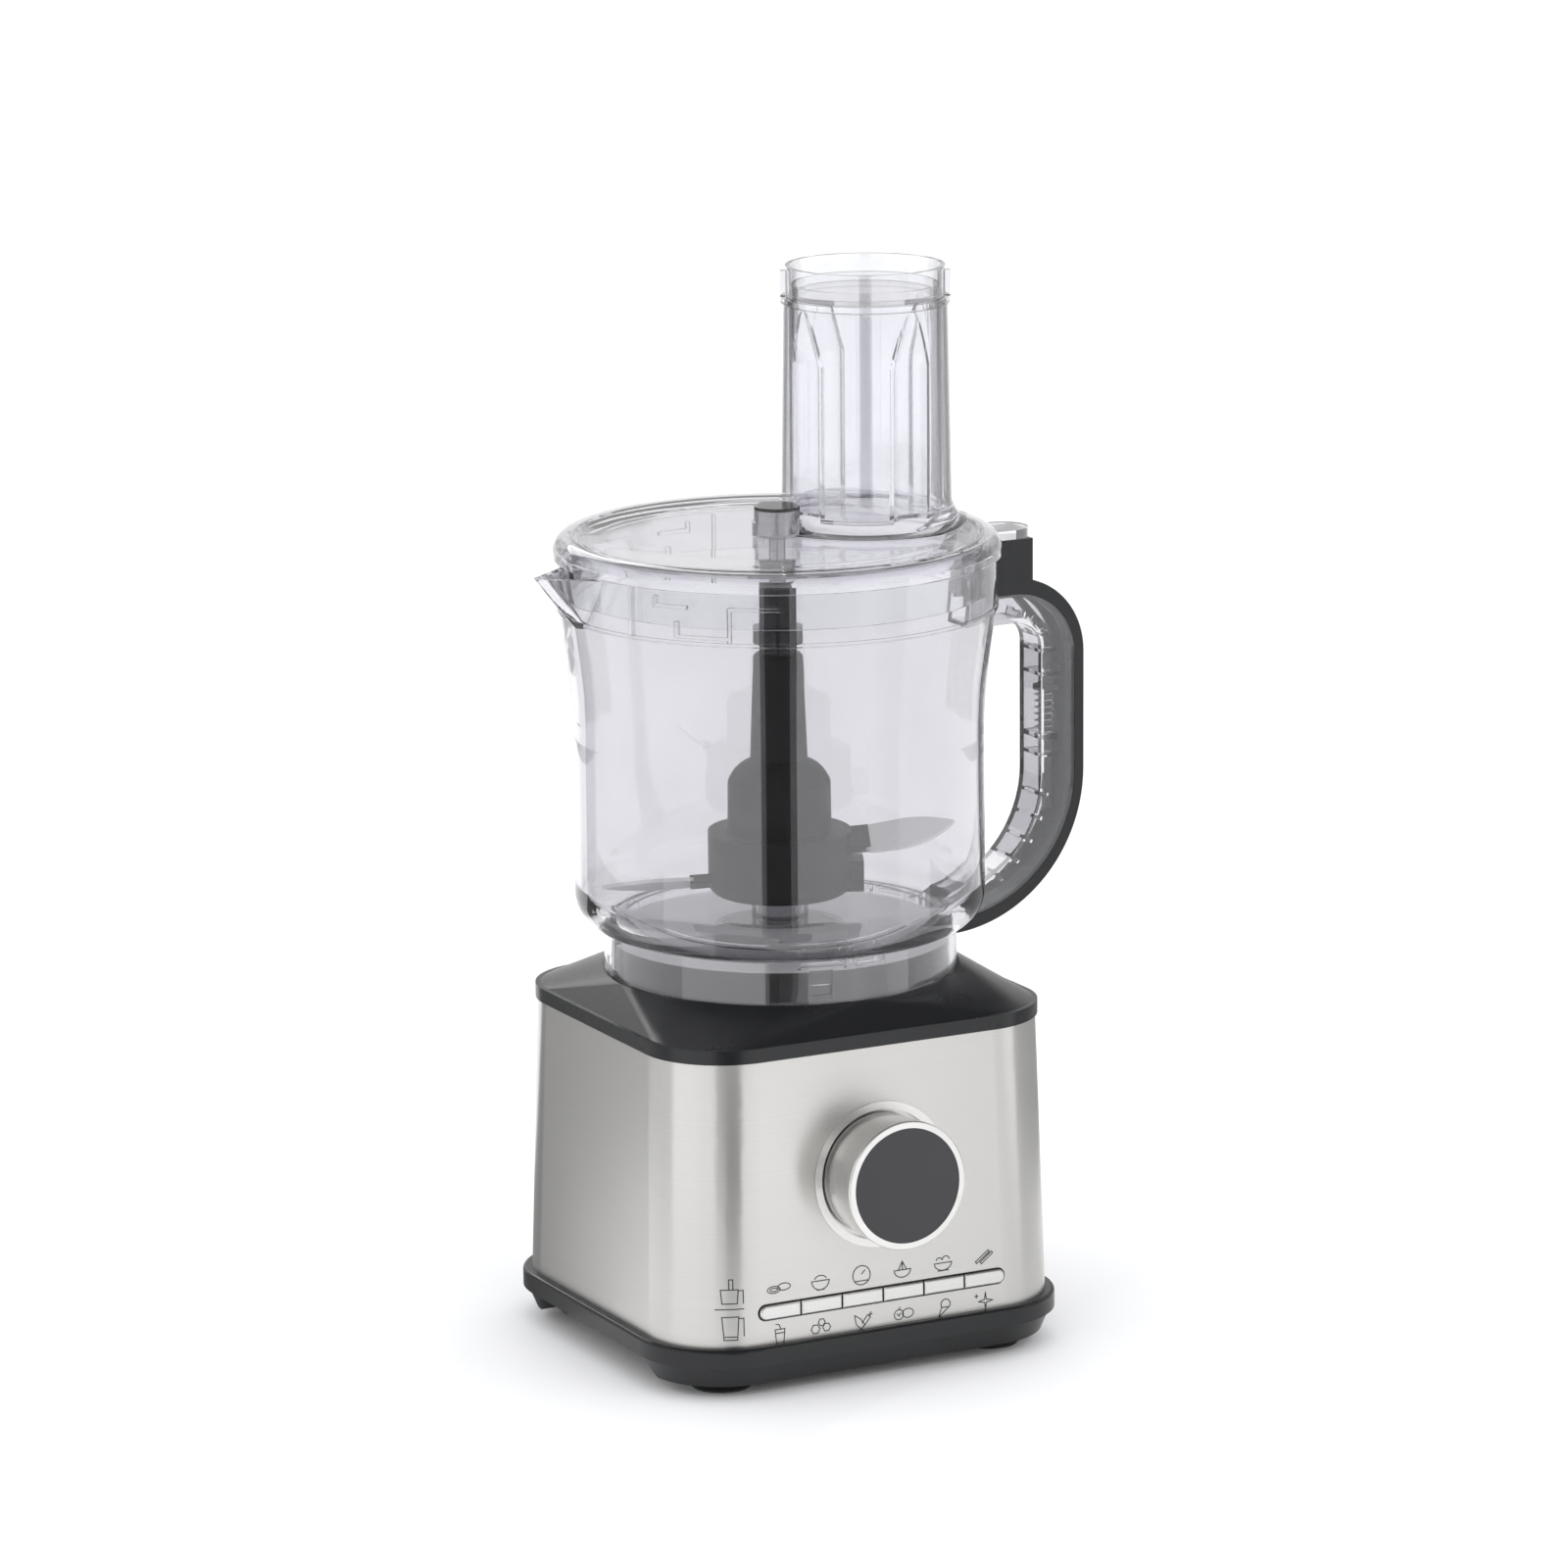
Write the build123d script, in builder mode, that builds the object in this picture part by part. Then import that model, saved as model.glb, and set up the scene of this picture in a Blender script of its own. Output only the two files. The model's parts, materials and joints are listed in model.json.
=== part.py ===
from build123d import *
from math import atan2, cos, degrees, sin, radians
import os

# Compact food processor: a motor base with a knob and six keys, and a clear bowl whose blade
# unit is driven through a planetary gear.  Millimetres, +Z up.  The drive axis is the Z axis,
# the feet stand on z = 0, the knob faces -Y, the bowl's handle points to +X and its spout to -X.

# ---- driving dimensions -------------------------------------------------------------------

# base housing
foot_radius = 11.0
foot_spread_x = 112.0
foot_spread_y = 109.0
base_centre_y = -3.3
tray_bottom = 12.6
sleeve_bottom = 18.0
sleeve_top = 125.0
sleeve_half_width = (81.0, 78.3)
sleeve_half_depth = (75.5, 72.6)
sleeve_corner = 30.0
sheet = 1.0
plinth_bottom = 4.5
tray_overhang = 3.5
cover_rim_top = 130.3
deck_top = 139.7
deck_radius = 66.6
turret_radius = 62.4
turret_top = 151.8
turret_cap_bottom = 150.2
lug_angle = 76.0
wall = 2.4

# bowl
bowl_bottom = 140.0
skirt_radius = 65.6
bowl_radius = 76.2
band_radius = 81.0
band_bottom = 275.5
band_bead = 0.5
lock_rib_height = 2.0
bowl_rim = 294.6
floor_underside = 155.6
floor_top = 158.0
column_radius = 10.5
column_top = 182.0

# handle, as side profiles: reach from the axis, top height and the radii of the two bends
grip_low = 202.0
grip_width = 16.4
grip_outer = (125.2, 277.2, 30.2, 58.0)
grip_seam = (121.4, 271.0, 25.0, 52.4)
grip_legs = (118.0, 269.8, 22.5, 46.7)
grip_inner = (107.0, 260.0, 10.0, 44.5)
block_reach = 103.3
block_top = 292.0

# lid, chute and pusher
lid_radius = 82.6
lid_bottom = 294.9
lid_plate = 302.0
chute_x = 40.5
chute_y = 6.0
chute_base_radius = 32.3
chute_top_radius = 30.8
chute_top = 384.0
pusher_radius = 28.2
pusher_top = 398.0

# knob and keys, on the leaning front face
knob_height = 77.0
knob_radius = 24.0
knob_depth = 21.0
key_height = 31.5
key_count = 6
key_pitch = 17.0
key_tall = 5.2

# drive train
shaft_radius = 4.0
sun_teeth = 12
planet_teeth = 21
ring_teeth = 54
gear_bottom = 112.0
gear_top = 122.0
spindle_radius = 5.0

# ---- derived sizes and shared helpers -----------------------------------------------------

UP = (Align.CENTER, Align.CENTER, Align.MIN)
lean = (sleeve_half_depth[0] - sleeve_half_depth[1]) / (sleeve_top - sleeve_bottom)
lean_angle = atan2(lean, 1.0)
planet_orbit = (sun_teeth + planet_teeth) / 2
gear_height = gear_top - gear_bottom
os.makedirs("parts", exist_ok=True)


def front_y(z):
    """Y of the steel front face at height z."""
    return base_centre_y - sleeve_half_depth[0] + lean * (z - sleeve_bottom)


def front_plane(z):
    """Plane on the leaning front face: local X to the right, local Z out of the face."""
    outward = (0, -cos(lean_angle), sin(lean_angle))
    return Plane(origin=(0, front_y(z), z), x_dir=(1, 0, 0), z_dir=outward)


def base_outline(z, grow=0.0):
    """Rounded plan of the base housing at height z, grown outwards by a margin."""
    share = (z - sleeve_bottom) / (sleeve_top - sleeve_bottom)
    half_x = sleeve_half_width[0] + share * (sleeve_half_width[1] - sleeve_half_width[0]) + grow
    half_y = sleeve_half_depth[0] + share * (sleeve_half_depth[1] - sleeve_half_depth[0]) + grow
    with Locations((0, base_centre_y)):
        RectangleRounded(2 * half_x, 2 * half_y, sleeve_corner + grow)


def crook(shape, grow=0.0):
    """Side outline from inside the bowl wall out to one line of the handle."""
    reach, top, top_radius, low_radius = shape
    reach, top = reach + grow, top + grow
    top_radius, low_radius = top_radius + grow, low_radius + grow
    root = 60.0
    bottom = grip_low - low_radius
    diagonal = sin(radians(45))
    top_centre = (reach - top_radius, top - top_radius)
    low_centre = (reach - low_radius, grip_low)
    with BuildSketch(Plane.XZ) as outline:
        with BuildLine():
            Line((root, top), (top_centre[0], top))
            ThreePointArc(
                (top_centre[0], top),
                (top_centre[0] + top_radius * diagonal, top_centre[1] + top_radius * diagonal),
                (reach, top_centre[1]),
            )
            Line((reach, top_centre[1]), (reach, grip_low))
            ThreePointArc(
                (reach, grip_low),
                (low_centre[0] + low_radius * diagonal, low_centre[1] - low_radius * diagonal),
                (low_centre[0], bottom),
            )
            Line((low_centre[0], bottom), (root, bottom))
            Line((root, bottom), (root, top))
        make_face()
    return outline.sketch


def slab(profile, width):
    """Plate of a given width cut to a side profile and centred on the XZ plane."""
    near = Pos(0, width / 2, 0) * profile
    return extrude(near, amount=width, dir=(0, -1, 0), mode=Mode.PRIVATE)


def bowl_wall(inset, floor, top):
    """Half section of the bowl: straight wall, rounded foot and the flare up to the band."""
    foot = floor + 1.2 + inset / 2
    with BuildSketch(Plane.XZ) as section:
        with BuildLine():
            Line((0, floor), (skirt_radius - inset / 2, floor))
            ThreePointArc(
                (skirt_radius - inset / 2, floor),
                (72.9 - inset * 0.8, foot + 3.2),
                (bowl_radius - inset, floor + 14.5),
            )
            Line((bowl_radius - inset, floor + 14.5), (bowl_radius - inset, 228))
            Spline(
                (bowl_radius - inset, 228),
                (bowl_radius + 1.4 - inset, 252),
                (band_radius - 0.4 - inset, band_bottom),
                tangents=((0, 1), (0.1, 1)),
            )
            Line((band_radius - 0.4 - inset, band_bottom), (band_radius - inset, band_bottom))
            Line((band_radius - inset, band_bottom), (band_radius - inset, top))
            Line((band_radius - inset, top), (0, top))
            Line((0, top), (0, floor))
        make_face()
    return section.sketch


def arc_rib(inner, outer, start, end, low, high):
    """Rib that follows a round wall between two angles and two heights."""
    with BuildSketch(Plane.XY.offset(low)) as plan:
        with BuildLine():
            near = CenterArc((0, 0), inner, start, end - start)
            far = CenterArc((0, 0), outer, start, end - start)
            Line(near @ 0, far @ 0)
            Line(near @ 1, far @ 1)
        make_face()
    return extrude(plan.sketch, amount=high - low, mode=Mode.PRIVATE)


def gear_profile(teeth, root_radius, tip_radius, root_width, tip_width):
    """Root disc with straight-flanked teeth, the first one on the local X axis."""
    with BuildSketch() as profile:
        Circle(root_radius)
        with PolarLocations(0, teeth):
            Polygon(
                (root_radius - 0.4, -root_width / 2),
                (tip_radius, -tip_width / 2),
                (tip_radius, tip_width / 2),
                (root_radius - 0.4, root_width / 2),
                align=None,
            )
    return profile.sketch


def coupling_profile(grow=0.0):
    """Three-lobed drive shape shared by the driver and its socket."""
    with BuildSketch() as profile:
        Circle(8.5 + grow)
        with PolarLocations(8.5, 3):
            Circle(4.0 + grow)
    return profile.sketch


def save(part, name):
    """Label one finished piece and write its file."""
    part.label = name
    export_step(part, f"parts/{name}.step")


# ---- base housing ---------------------------------------------------------------------------

with BuildPart() as base_tray:
    with BuildSketch(Plane.XY.offset(tray_bottom)):
        base_outline(sleeve_bottom, tray_overhang)
    extrude(amount=sleeve_bottom + 1.6 - tray_bottom)
    fillet(base_tray.faces().sort_by(Axis.Z)[-1].edges(), 1.4)
    with BuildSketch(Plane.XY.offset(sleeve_bottom)):
        base_outline(sleeve_bottom, 0.05)
    extrude(amount=5, mode=Mode.SUBTRACT)
    with BuildSketch(Plane.XY.offset(tray_bottom + 3)):
        base_outline(sleeve_bottom, -2.5)
    extrude(amount=10, mode=Mode.SUBTRACT)
    # front and back plinth bars with slanting ends, open between them at the sides
    with BuildPart(mode=Mode.PRIVATE) as plinth:
        with BuildSketch(Plane.XY.offset(tray_bottom)):
            base_outline(sleeve_bottom, tray_overhang - 1.6)
        with BuildSketch(Plane.XY.offset(plinth_bottom)):
            base_outline(sleeve_bottom, -1.5)
        loft(ruled=True)
    with BuildSketch(Plane.YZ) as bar_sides:
        with Locations((base_centre_y, 0)):
            for side in (-1, 1):
                Polygon(
                    (side * 86, tray_bottom),
                    (side * 42, tray_bottom),
                    (side * 49, plinth_bottom),
                    (side * 86, plinth_bottom),
                    align=None,
                )
    bars = extrude(bar_sides.sketch, amount=90, both=True, mode=Mode.PRIVATE)
    add(plinth.part & bars)
    # cooling slots under the motor and screw posts at the corners
    with Locations((0, 0, tray_bottom)):
        with GridLocations(9, 1, 7, 1):
            Box(4.5, 44, 12, align=UP, mode=Mode.SUBTRACT)
    with Locations((0, base_centre_y, tray_bottom + 3)):
        with GridLocations(112, 84, 2, 2):
            Cylinder(5, 9, align=UP)
    with Locations((0, base_centre_y, tray_bottom - 2.2)):
        with GridLocations(112, 84, 2, 2):
            Cylinder(3.6, 2.2, align=UP, mode=Mode.SUBTRACT)
            Cylinder(1.6, 14, align=UP, mode=Mode.SUBTRACT)
    with Locations((0, base_centre_y, plinth_bottom)):
        with GridLocations(foot_spread_x, foot_spread_y, 2, 2):
            Cylinder(3, 6, align=UP, mode=Mode.SUBTRACT)
save(base_tray.part, "base_tray")

with BuildPart() as suction_feet:
    with BuildPart(mode=Mode.PRIVATE) as cup:
        with BuildSketch(Plane.XZ):
            with BuildLine():
                Polyline(
                    (0, 2.2), (6, 2.0), (9.4, 0), (foot_radius, 0), (foot_radius, 0.9),
                    (7.5, plinth_bottom), (3, plinth_bottom), (3, 10), (0, 10), close=True,
                )
            make_face()
        revolve(axis=Axis.Z)
    with Locations((0, base_centre_y, 0)):
        with GridLocations(foot_spread_x, foot_spread_y, 2, 2):
            add(cup.part)
save(suction_feet.part, "suction_feet")

with BuildPart() as steel_sleeve:
    for z in (sleeve_bottom, sleeve_top):
        with BuildSketch(Plane.XY.offset(z)):
            base_outline(z)
    loft(ruled=True)
    for z in (sleeve_bottom, sleeve_top):
        with BuildSketch(Plane.XY.offset(z)):
            base_outline(z, -sheet)
    loft(ruled=True, mode=Mode.SUBTRACT)
    with BuildSketch(front_plane(knob_height)):
        Circle(25.6)
    extrude(amount=4, both=True, mode=Mode.SUBTRACT)
    with BuildSketch(front_plane(key_height)):
        SlotOverall(key_count * key_pitch + 0.8, key_tall + 1.2)
    extrude(amount=4, both=True, mode=Mode.SUBTRACT)
    with BuildSketch(Plane.XZ.offset(-base_centre_y - 70)):
        with Locations((40, 32)):
            Circle(6.5)
    extrude(amount=-8, both=True, mode=Mode.SUBTRACT)
save(steel_sleeve.part, "steel_sleeve")

with BuildPart() as top_cover:
    with BuildSketch(Plane.XY.offset(sleeve_top)):
        base_outline(sleeve_top, 0.9)
    extrude(amount=cover_rim_top - sleeve_top)
    with BuildSketch(Plane.XY.offset(cover_rim_top)):
        base_outline(sleeve_top, -0.9)
    with BuildSketch(Plane.XY.offset(deck_top)):
        RectangleRounded(2 * deck_radius, 2 * deck_radius, deck_radius - 0.05)
    loft(ruled=True)
    with BuildSketch(Plane.XY.offset(sleeve_top)):
        base_outline(sleeve_top, -sheet - 1.2)
    with BuildSketch(Plane.XY.offset(deck_top - wall - 1)):
        RectangleRounded(2 * (turret_radius - 4), 2 * (turret_radius - 4), turret_radius - 4.05)
    loft(ruled=True, mode=Mode.SUBTRACT)
    # turret that the bowl's skirt drops over, with a well for the coupling
    with Locations((0, 0, deck_top)):
        Cylinder(turret_radius - 1.0, turret_cap_bottom - deck_top, align=UP)
    with Locations((0, 0, deck_top - wall - 2)):
        Cylinder(turret_radius - 4, turret_top - deck_top + 1.2, align=UP, mode=Mode.SUBTRACT)
    with Locations((0, 0, deck_top - wall - 2)):
        Cylinder(19, 30, align=UP, mode=Mode.SUBTRACT)
    # upright slots in the turret for the lugs of the bowl's skirt
    with PolarLocations(turret_radius, 4, start_angle=lug_angle):
        with Locations((0, 0, deck_top)):
            Box(4, 9, 30, align=UP, mode=Mode.SUBTRACT)
save(top_cover.part, "top_cover")

with BuildPart() as turret_band:
    with Locations((0, 0, deck_top)):
        Cylinder(turret_radius, 7.0, align=UP)
        Cylinder(turret_radius - 1.0, 7.0, align=UP, mode=Mode.SUBTRACT)
    with PolarLocations(turret_radius, 4, start_angle=lug_angle):
        with Locations((0, 0, deck_top + 1)):
            Box(4, 9, 30, align=UP, mode=Mode.SUBTRACT)
save(turret_band.part, "turret_band")

with BuildPart() as turret_trim:
    with Locations((0, 0, deck_top + 7.0)):
        Cylinder(turret_radius, turret_top - deck_top - 7.0, align=UP)
        Cylinder(turret_radius - 1.0, turret_cap_bottom - deck_top - 7.0, align=UP, mode=Mode.SUBTRACT)
    fillet(turret_trim.edges().group_by(Axis.Z)[-1].sort_by(SortBy.LENGTH)[-1], 0.5)
    with Locations((0, 0, turret_cap_bottom)):
        Cylinder(25.5, 2.8, align=UP)
        Cylinder(24, 2.8, align=UP, mode=Mode.SUBTRACT)
    with PolarLocations(turret_radius, 4, start_angle=lug_angle):
        with Locations((0, 0, deck_top + 6)):
            Box(4, 9, 30, align=UP, mode=Mode.SUBTRACT)
save(turret_trim.part, "turret_trim")

with BuildPart() as cord_gland:
    gland_y = base_centre_y + sleeve_half_depth[0]
    with BuildSketch(Plane.XZ.offset(-gland_y + 3)):
        with Locations((40, 32)):
            Circle(6.4)
    extrude(amount=-5.6)
    with BuildSketch(Plane.XZ.offset(-gland_y - 0.5)):
        with Locations((40, 32)):
            Circle(9)
    extrude(amount=-2.4)
    with BuildSketch(Plane.XZ.offset(-gland_y + 3)):
        with Locations((40, 32)):
            Circle(3.6)
    extrude(amount=-12, mode=Mode.SUBTRACT)
save(cord_gland.part, "cord_gland")

with BuildPart() as case_screws:
    with Locations((0, base_centre_y, tray_bottom)):
        with GridLocations(112, 84, 2, 2):
            Cylinder(1.6, 11, align=UP)
    with Locations((0, base_centre_y, tray_bottom - 2.2)):
        with GridLocations(112, 84, 2, 2):
            Cylinder(3.5, 2.2, align=UP)
save(case_screws.part, "case_screws")

# ---- controls on the front face -----------------------------------------------------------

knob_plane = front_plane(knob_height)
key_plane = front_plane(key_height)

with BuildPart() as knob_bezel:
    with BuildSketch(knob_plane.offset(-3)):
        Circle(25.5)
        Circle(24.4, mode=Mode.SUBTRACT)
    extrude(amount=3)
    with BuildSketch(knob_plane):
        Circle(27.2)
        Circle(24.4, mode=Mode.SUBTRACT)
    extrude(amount=0.9)
    with BuildSketch(knob_plane.offset(-3)):
        Circle(25.5)
        Circle(4.5, mode=Mode.SUBTRACT)
    extrude(amount=-1.2)
save(knob_bezel.part, "knob_bezel")

with BuildPart() as knob_body:
    with BuildSketch(knob_plane.offset(-0.6)):
        Circle(22.7)
    with BuildSketch(knob_plane.offset(knob_depth)):
        Circle(knob_radius)
    loft(ruled=True)
    rim_edge = knob_body.faces().sort_by(Axis.Y)[0].edges()
    fillet(rim_edge, 0.7)
    with BuildSketch(knob_plane.offset(knob_depth - 0.9)):
        Circle(21.4)
    extrude(amount=4, mode=Mode.SUBTRACT)
    with BuildSketch(knob_plane.offset(-0.6)):
        Circle(20.9)
        Circle(6.0, mode=Mode.SUBTRACT)
    extrude(amount=knob_depth - 2.4, mode=Mode.SUBTRACT)
    with BuildSketch(knob_plane.offset(-0.6)):
        Circle(3.0)
    extrude(amount=13, mode=Mode.SUBTRACT)
save(knob_body.part, "knob_body")

with BuildPart() as knob_disc:
    with BuildSketch(knob_plane.offset(knob_depth - 0.9)):
        Circle(21.3)
    extrude(amount=0.7)
save(knob_disc.part, "knob_disc")

with BuildPart() as encoder_shaft:
    with BuildSketch(knob_plane.offset(-8)):
        Circle(3.0)
    extrude(amount=20.4)
save(encoder_shaft.part, "encoder_shaft")

with BuildPart() as encoder_body:
    with BuildSketch(knob_plane.offset(-15)):
        Rectangle(14, 14)
    extrude(amount=6.5)
    with BuildSketch(knob_plane.offset(-8.5)):
        Circle(4.2)
    extrude(amount=3.5)
    with BuildSketch(knob_plane.offset(-9)):
        Circle(3.05)
    extrude(amount=6, mode=Mode.SUBTRACT)
save(encoder_body.part, "encoder_body")

with BuildPart() as control_board:
    with BuildSketch(knob_plane.offset(-15)):
        with Locations((0, -22)):
            RectangleRounded(116, 74, 3)
    extrude(amount=-1.6)
save(control_board.part, "control_board")

with BuildPart() as tact_switches:
    with BuildSketch(key_plane.offset(-15)):
        with GridLocations(key_pitch, 1, key_count, 1):
            Rectangle(6, 6)
    extrude(amount=3.4)
    with BuildSketch(key_plane.offset(-11.6)):
        with GridLocations(key_pitch, 1, key_count, 1):
            Circle(1.7)
    extrude(amount=1.6)
save(tact_switches.part, "tact_switches")

with BuildPart() as button_guide:
    slot_length = key_count * key_pitch + 0.6
    with BuildSketch(key_plane.offset(-sheet - 0.8)):
        RectangleRounded(slot_length + 10, 15, 3)
        SlotOverall(slot_length, key_tall + 0.8, mode=Mode.SUBTRACT)
    extrude(amount=-1.8)
    with BuildSketch(key_plane.offset(-sheet - 0.8)):
        SlotOverall(slot_length + 0.2, key_tall + 1.2)
        SlotOverall(slot_length - 0.4, key_tall + 0.6, mode=Mode.SUBTRACT)
    extrude(amount=sheet + 0.6)
    with BuildSketch(key_plane.offset(-sheet - 2.6)):
        with GridLocations(slot_length + 4, 1, 2, 1):
            Circle(2.5)
    extrude(amount=-11.4)
save(button_guide.part, "button_guide")


def speed_key(index):
    """One key of the row; the first and the last have a round outer end."""
    centre = (index - (key_count - 1) / 2) * key_pitch
    with BuildPart() as key:
        with BuildSketch(key_plane.offset(-8)):
            SlotOverall(key_count * key_pitch - 0.4, key_tall)
            with Locations((centre, 0)):
                Rectangle(key_pitch - 0.5, key_tall + 1, mode=Mode.INTERSECT)
        extrude(amount=9.2)
        front = key.faces().sort_by(Axis.Y)[0]
        fillet(front.edges(), 0.8)
        with BuildSketch(key_plane.offset(-8)):
            with Locations((centre, 0)):
                Rectangle(key_pitch - 2.5, key_tall + 4)
                Rectangle(key_pitch - 7, key_tall + 8)
        extrude(amount=2.0)
    return key.part


for number in range(key_count):
    save(speed_key(number), f"speed_key_{number + 1}")

# ---- motor --------------------------------------------------------------------------------

stator_bottom = 50.0
stator_top = 86.0
armature_radius = 21.0

with BuildPart() as stator_core:
    with BuildSketch(Plane.XY.offset(stator_bottom)):
        RectangleRounded(74, 64, 9)
        Circle(armature_radius + 0.7, mode=Mode.SUBTRACT)
        with GridLocations(48, 34, 2, 2):
            Rectangle(8, 7, mode=Mode.SUBTRACT)
        with GridLocations(62, 48, 2, 2):
            Circle(2.1, mode=Mode.SUBTRACT)
    extrude(amount=stator_top - stator_bottom)
save(stator_core.part, "stator_core")

with BuildPart() as field_windings:
    for side in (-1, 1):
        with BuildSketch(Plane.XZ.offset(-17 * side)):
            with Locations((0, (stator_bottom + stator_top) / 2)):
                RectangleRounded(56, 51, 6)
                Rectangle(40, 36, mode=Mode.SUBTRACT)
        extrude(amount=3.5, both=True)
    with Locations((0, 0, 30)):
        Cylinder(armature_radius + 1.5, 70, align=UP, mode=Mode.SUBTRACT)
save(field_windings.part, "field_windings")

with BuildPart() as lower_bracket:
    with BuildSketch(Plane.XY.offset(23)):
        Rectangle(30, 58)
        RectangleRounded(74, 14, 4)
        Circle(9.5, mode=Mode.SUBTRACT)
        with GridLocations(62, 48, 2, 2):
            Circle(5)
        with GridLocations(0.01, 48, 1, 2):
            Rectangle(64, 8)
    extrude(amount=3)
    with Locations((0, 0, 20.5)):
        Cylinder(12, 8, align=UP)
        Cylinder(9.5, 8, align=UP, mode=Mode.SUBTRACT)
    with Locations((0, 0, 26)):
        with GridLocations(62, 48, 2, 2):
            Cylinder(4, stator_bottom - 26, align=UP)
    with Locations((0, 0, tray_bottom + 3)):
        with GridLocations(62, 48, 2, 2):
            Cylinder(5, 23 - tray_bottom - 3, align=UP)
save(lower_bracket.part, "lower_bracket")

with BuildPart() as upper_bracket:
    with BuildSketch(Plane.XY.offset(104)):
        RectangleRounded(84, 64, 9)
        Circle(9.5, mode=Mode.SUBTRACT)
        with GridLocations(1, 44, 1, 2):
            SlotOverall(36, 8, mode=Mode.SUBTRACT)
    extrude(amount=4)
    with Locations((0, 0, stator_top)):
        with GridLocations(62, 48, 2, 2):
            Cylinder(4, 104 - stator_top, align=UP)
save(upper_bracket.part, "upper_bracket")

with BuildPart() as motor_bearings:
    with Locations((0, 0, 21), (0, 0, 102)):
        Cylinder(9.5, 6, align=UP)
        Cylinder(shaft_radius + 0.05, 6, align=UP, mode=Mode.SUBTRACT)
save(motor_bearings.part, "motor_bearings")

with BuildPart() as brush_holders:
    for side in (-1, 1):
        with Locations((side * 24, 0, 32.5)):
            Box(22, 9, 9, align=UP)
        with Locations((side * 30, 0, 26)):
            Box(8, 9, 6.5, align=UP)
        with Locations((side * 20, 0, 34)):
            Box(20, 6, 6, align=UP, mode=Mode.SUBTRACT)
save(brush_holders.part, "brush_holders")

with BuildPart() as carbon_brushes:
    for side in (-1, 1):
        with Locations((side * 20.5, 0, 34)):
            Box(18, 6, 6, align=UP)
    with Locations((0, 0, 30)):
        Cylinder(12.1, 14, align=UP, mode=Mode.SUBTRACT)
save(carbon_brushes.part, "carbon_brushes")

with BuildPart() as motor_shaft:
    with Locations((0, 0, 20.8)):
        Cylinder(shaft_radius, 88.2, align=UP)
    with Locations((0, 0, 109)):
        Cylinder(3.0, 14.0, align=UP)
save(motor_shaft.part, "motor_shaft")

with BuildPart() as armature_core:
    with BuildSketch(Plane.XY.offset(stator_bottom)):
        Circle(armature_radius)
        Circle(shaft_radius, mode=Mode.SUBTRACT)
        with PolarLocations(armature_radius - 4.5, 12):
            Rectangle(10, 3.4, mode=Mode.SUBTRACT)
    extrude(amount=stator_top - stator_bottom)
save(armature_core.part, "armature_core")

with BuildPart() as armature_windings:
    with Locations((0, 0, stator_bottom - 6), (0, 0, stator_top)):
        Cylinder(19, 6, align=UP)
        Cylinder(shaft_radius, 6, align=UP, mode=Mode.SUBTRACT)
    fillet(armature_windings.edges().filter_by(GeomType.CIRCLE).group_by(SortBy.RADIUS)[-1], 1.8)
save(armature_windings.part, "armature_windings")

with BuildPart() as commutator:
    with Locations((0, 0, 30)):
        Cylinder(12, 13, align=UP)
        Cylinder(shaft_radius, 13, align=UP, mode=Mode.SUBTRACT)
    with PolarLocations(12, 24):
        with Locations((0, 0, 30)):
            Box(1.6, 0.6, 11, align=UP, mode=Mode.SUBTRACT)
save(commutator.part, "commutator")

with BuildPart() as cooling_fan:
    with BuildSketch(Plane.XY.offset(93.5)):
        Circle(28)
        Circle(shaft_radius, mode=Mode.SUBTRACT)
    extrude(amount=1.4)
    with BuildSketch(Plane.XY.offset(94.9)):
        Circle(8)
        Circle(shaft_radius, mode=Mode.SUBTRACT)
        with PolarLocations(18, 9):
            Rectangle(19.5, 1.2, rotation=24)
    extrude(amount=6)
save(cooling_fan.part, "cooling_fan")

# ---- planetary reduction ------------------------------------------------------------------

with BuildPart() as sun_pinion:
    with BuildSketch(Plane.XY.offset(gear_bottom)):
        add(gear_profile(sun_teeth, 4.7, 6.9, 2.1, 0.6))
        Circle(3.0, mode=Mode.SUBTRACT)
    extrude(amount=gear_height)
save(sun_pinion.part, "sun_pinion")

for number, angle in enumerate((0, 120, 240), start=1):
    planet_place = Plane.XY.rotated((0, 0, angle)).offset(gear_bottom)
    with BuildPart() as planet_gear:
        with BuildSketch(planet_place):
            with Locations((planet_orbit, 0)):
                add(gear_profile(planet_teeth, 9.2, 11.4, 2.1, 0.6))
                Circle(3.05, mode=Mode.SUBTRACT)
        extrude(amount=gear_height)
    save(planet_gear.part, f"planet_gear_{number}")

with BuildPart() as gearbox_base:
    with BuildSketch(Plane.XY.offset(108)):
        Circle(32)
        Circle(9, mode=Mode.SUBTRACT)
    extrude(amount=2.6)
    with BuildSketch(Plane.XY.offset(110.6)):
        Circle(32)
        Circle(30, mode=Mode.SUBTRACT)
    extrude(amount=18)
    with BuildSketch(Plane.XY.offset(gear_bottom - 0.6)):
        Circle(30.5)
        add(gear_profile(ring_teeth, 26.1, 28.3, 2.4, 0.95), mode=Mode.SUBTRACT)
    extrude(amount=gear_height + 1.0)
    with BuildSketch(Plane.XY.offset(108)):
        for tilt in (-1, 1):
            Rectangle(84, 6, rotation=tilt * degrees(atan2(54, 74)))
        with GridLocations(74, 54, 2, 2):
            Circle(5)
            Circle(1.6, mode=Mode.SUBTRACT)
        Circle(31, mode=Mode.SUBTRACT)
    extrude(amount=2.6)
save(gearbox_base.part, "gearbox_base")

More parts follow.
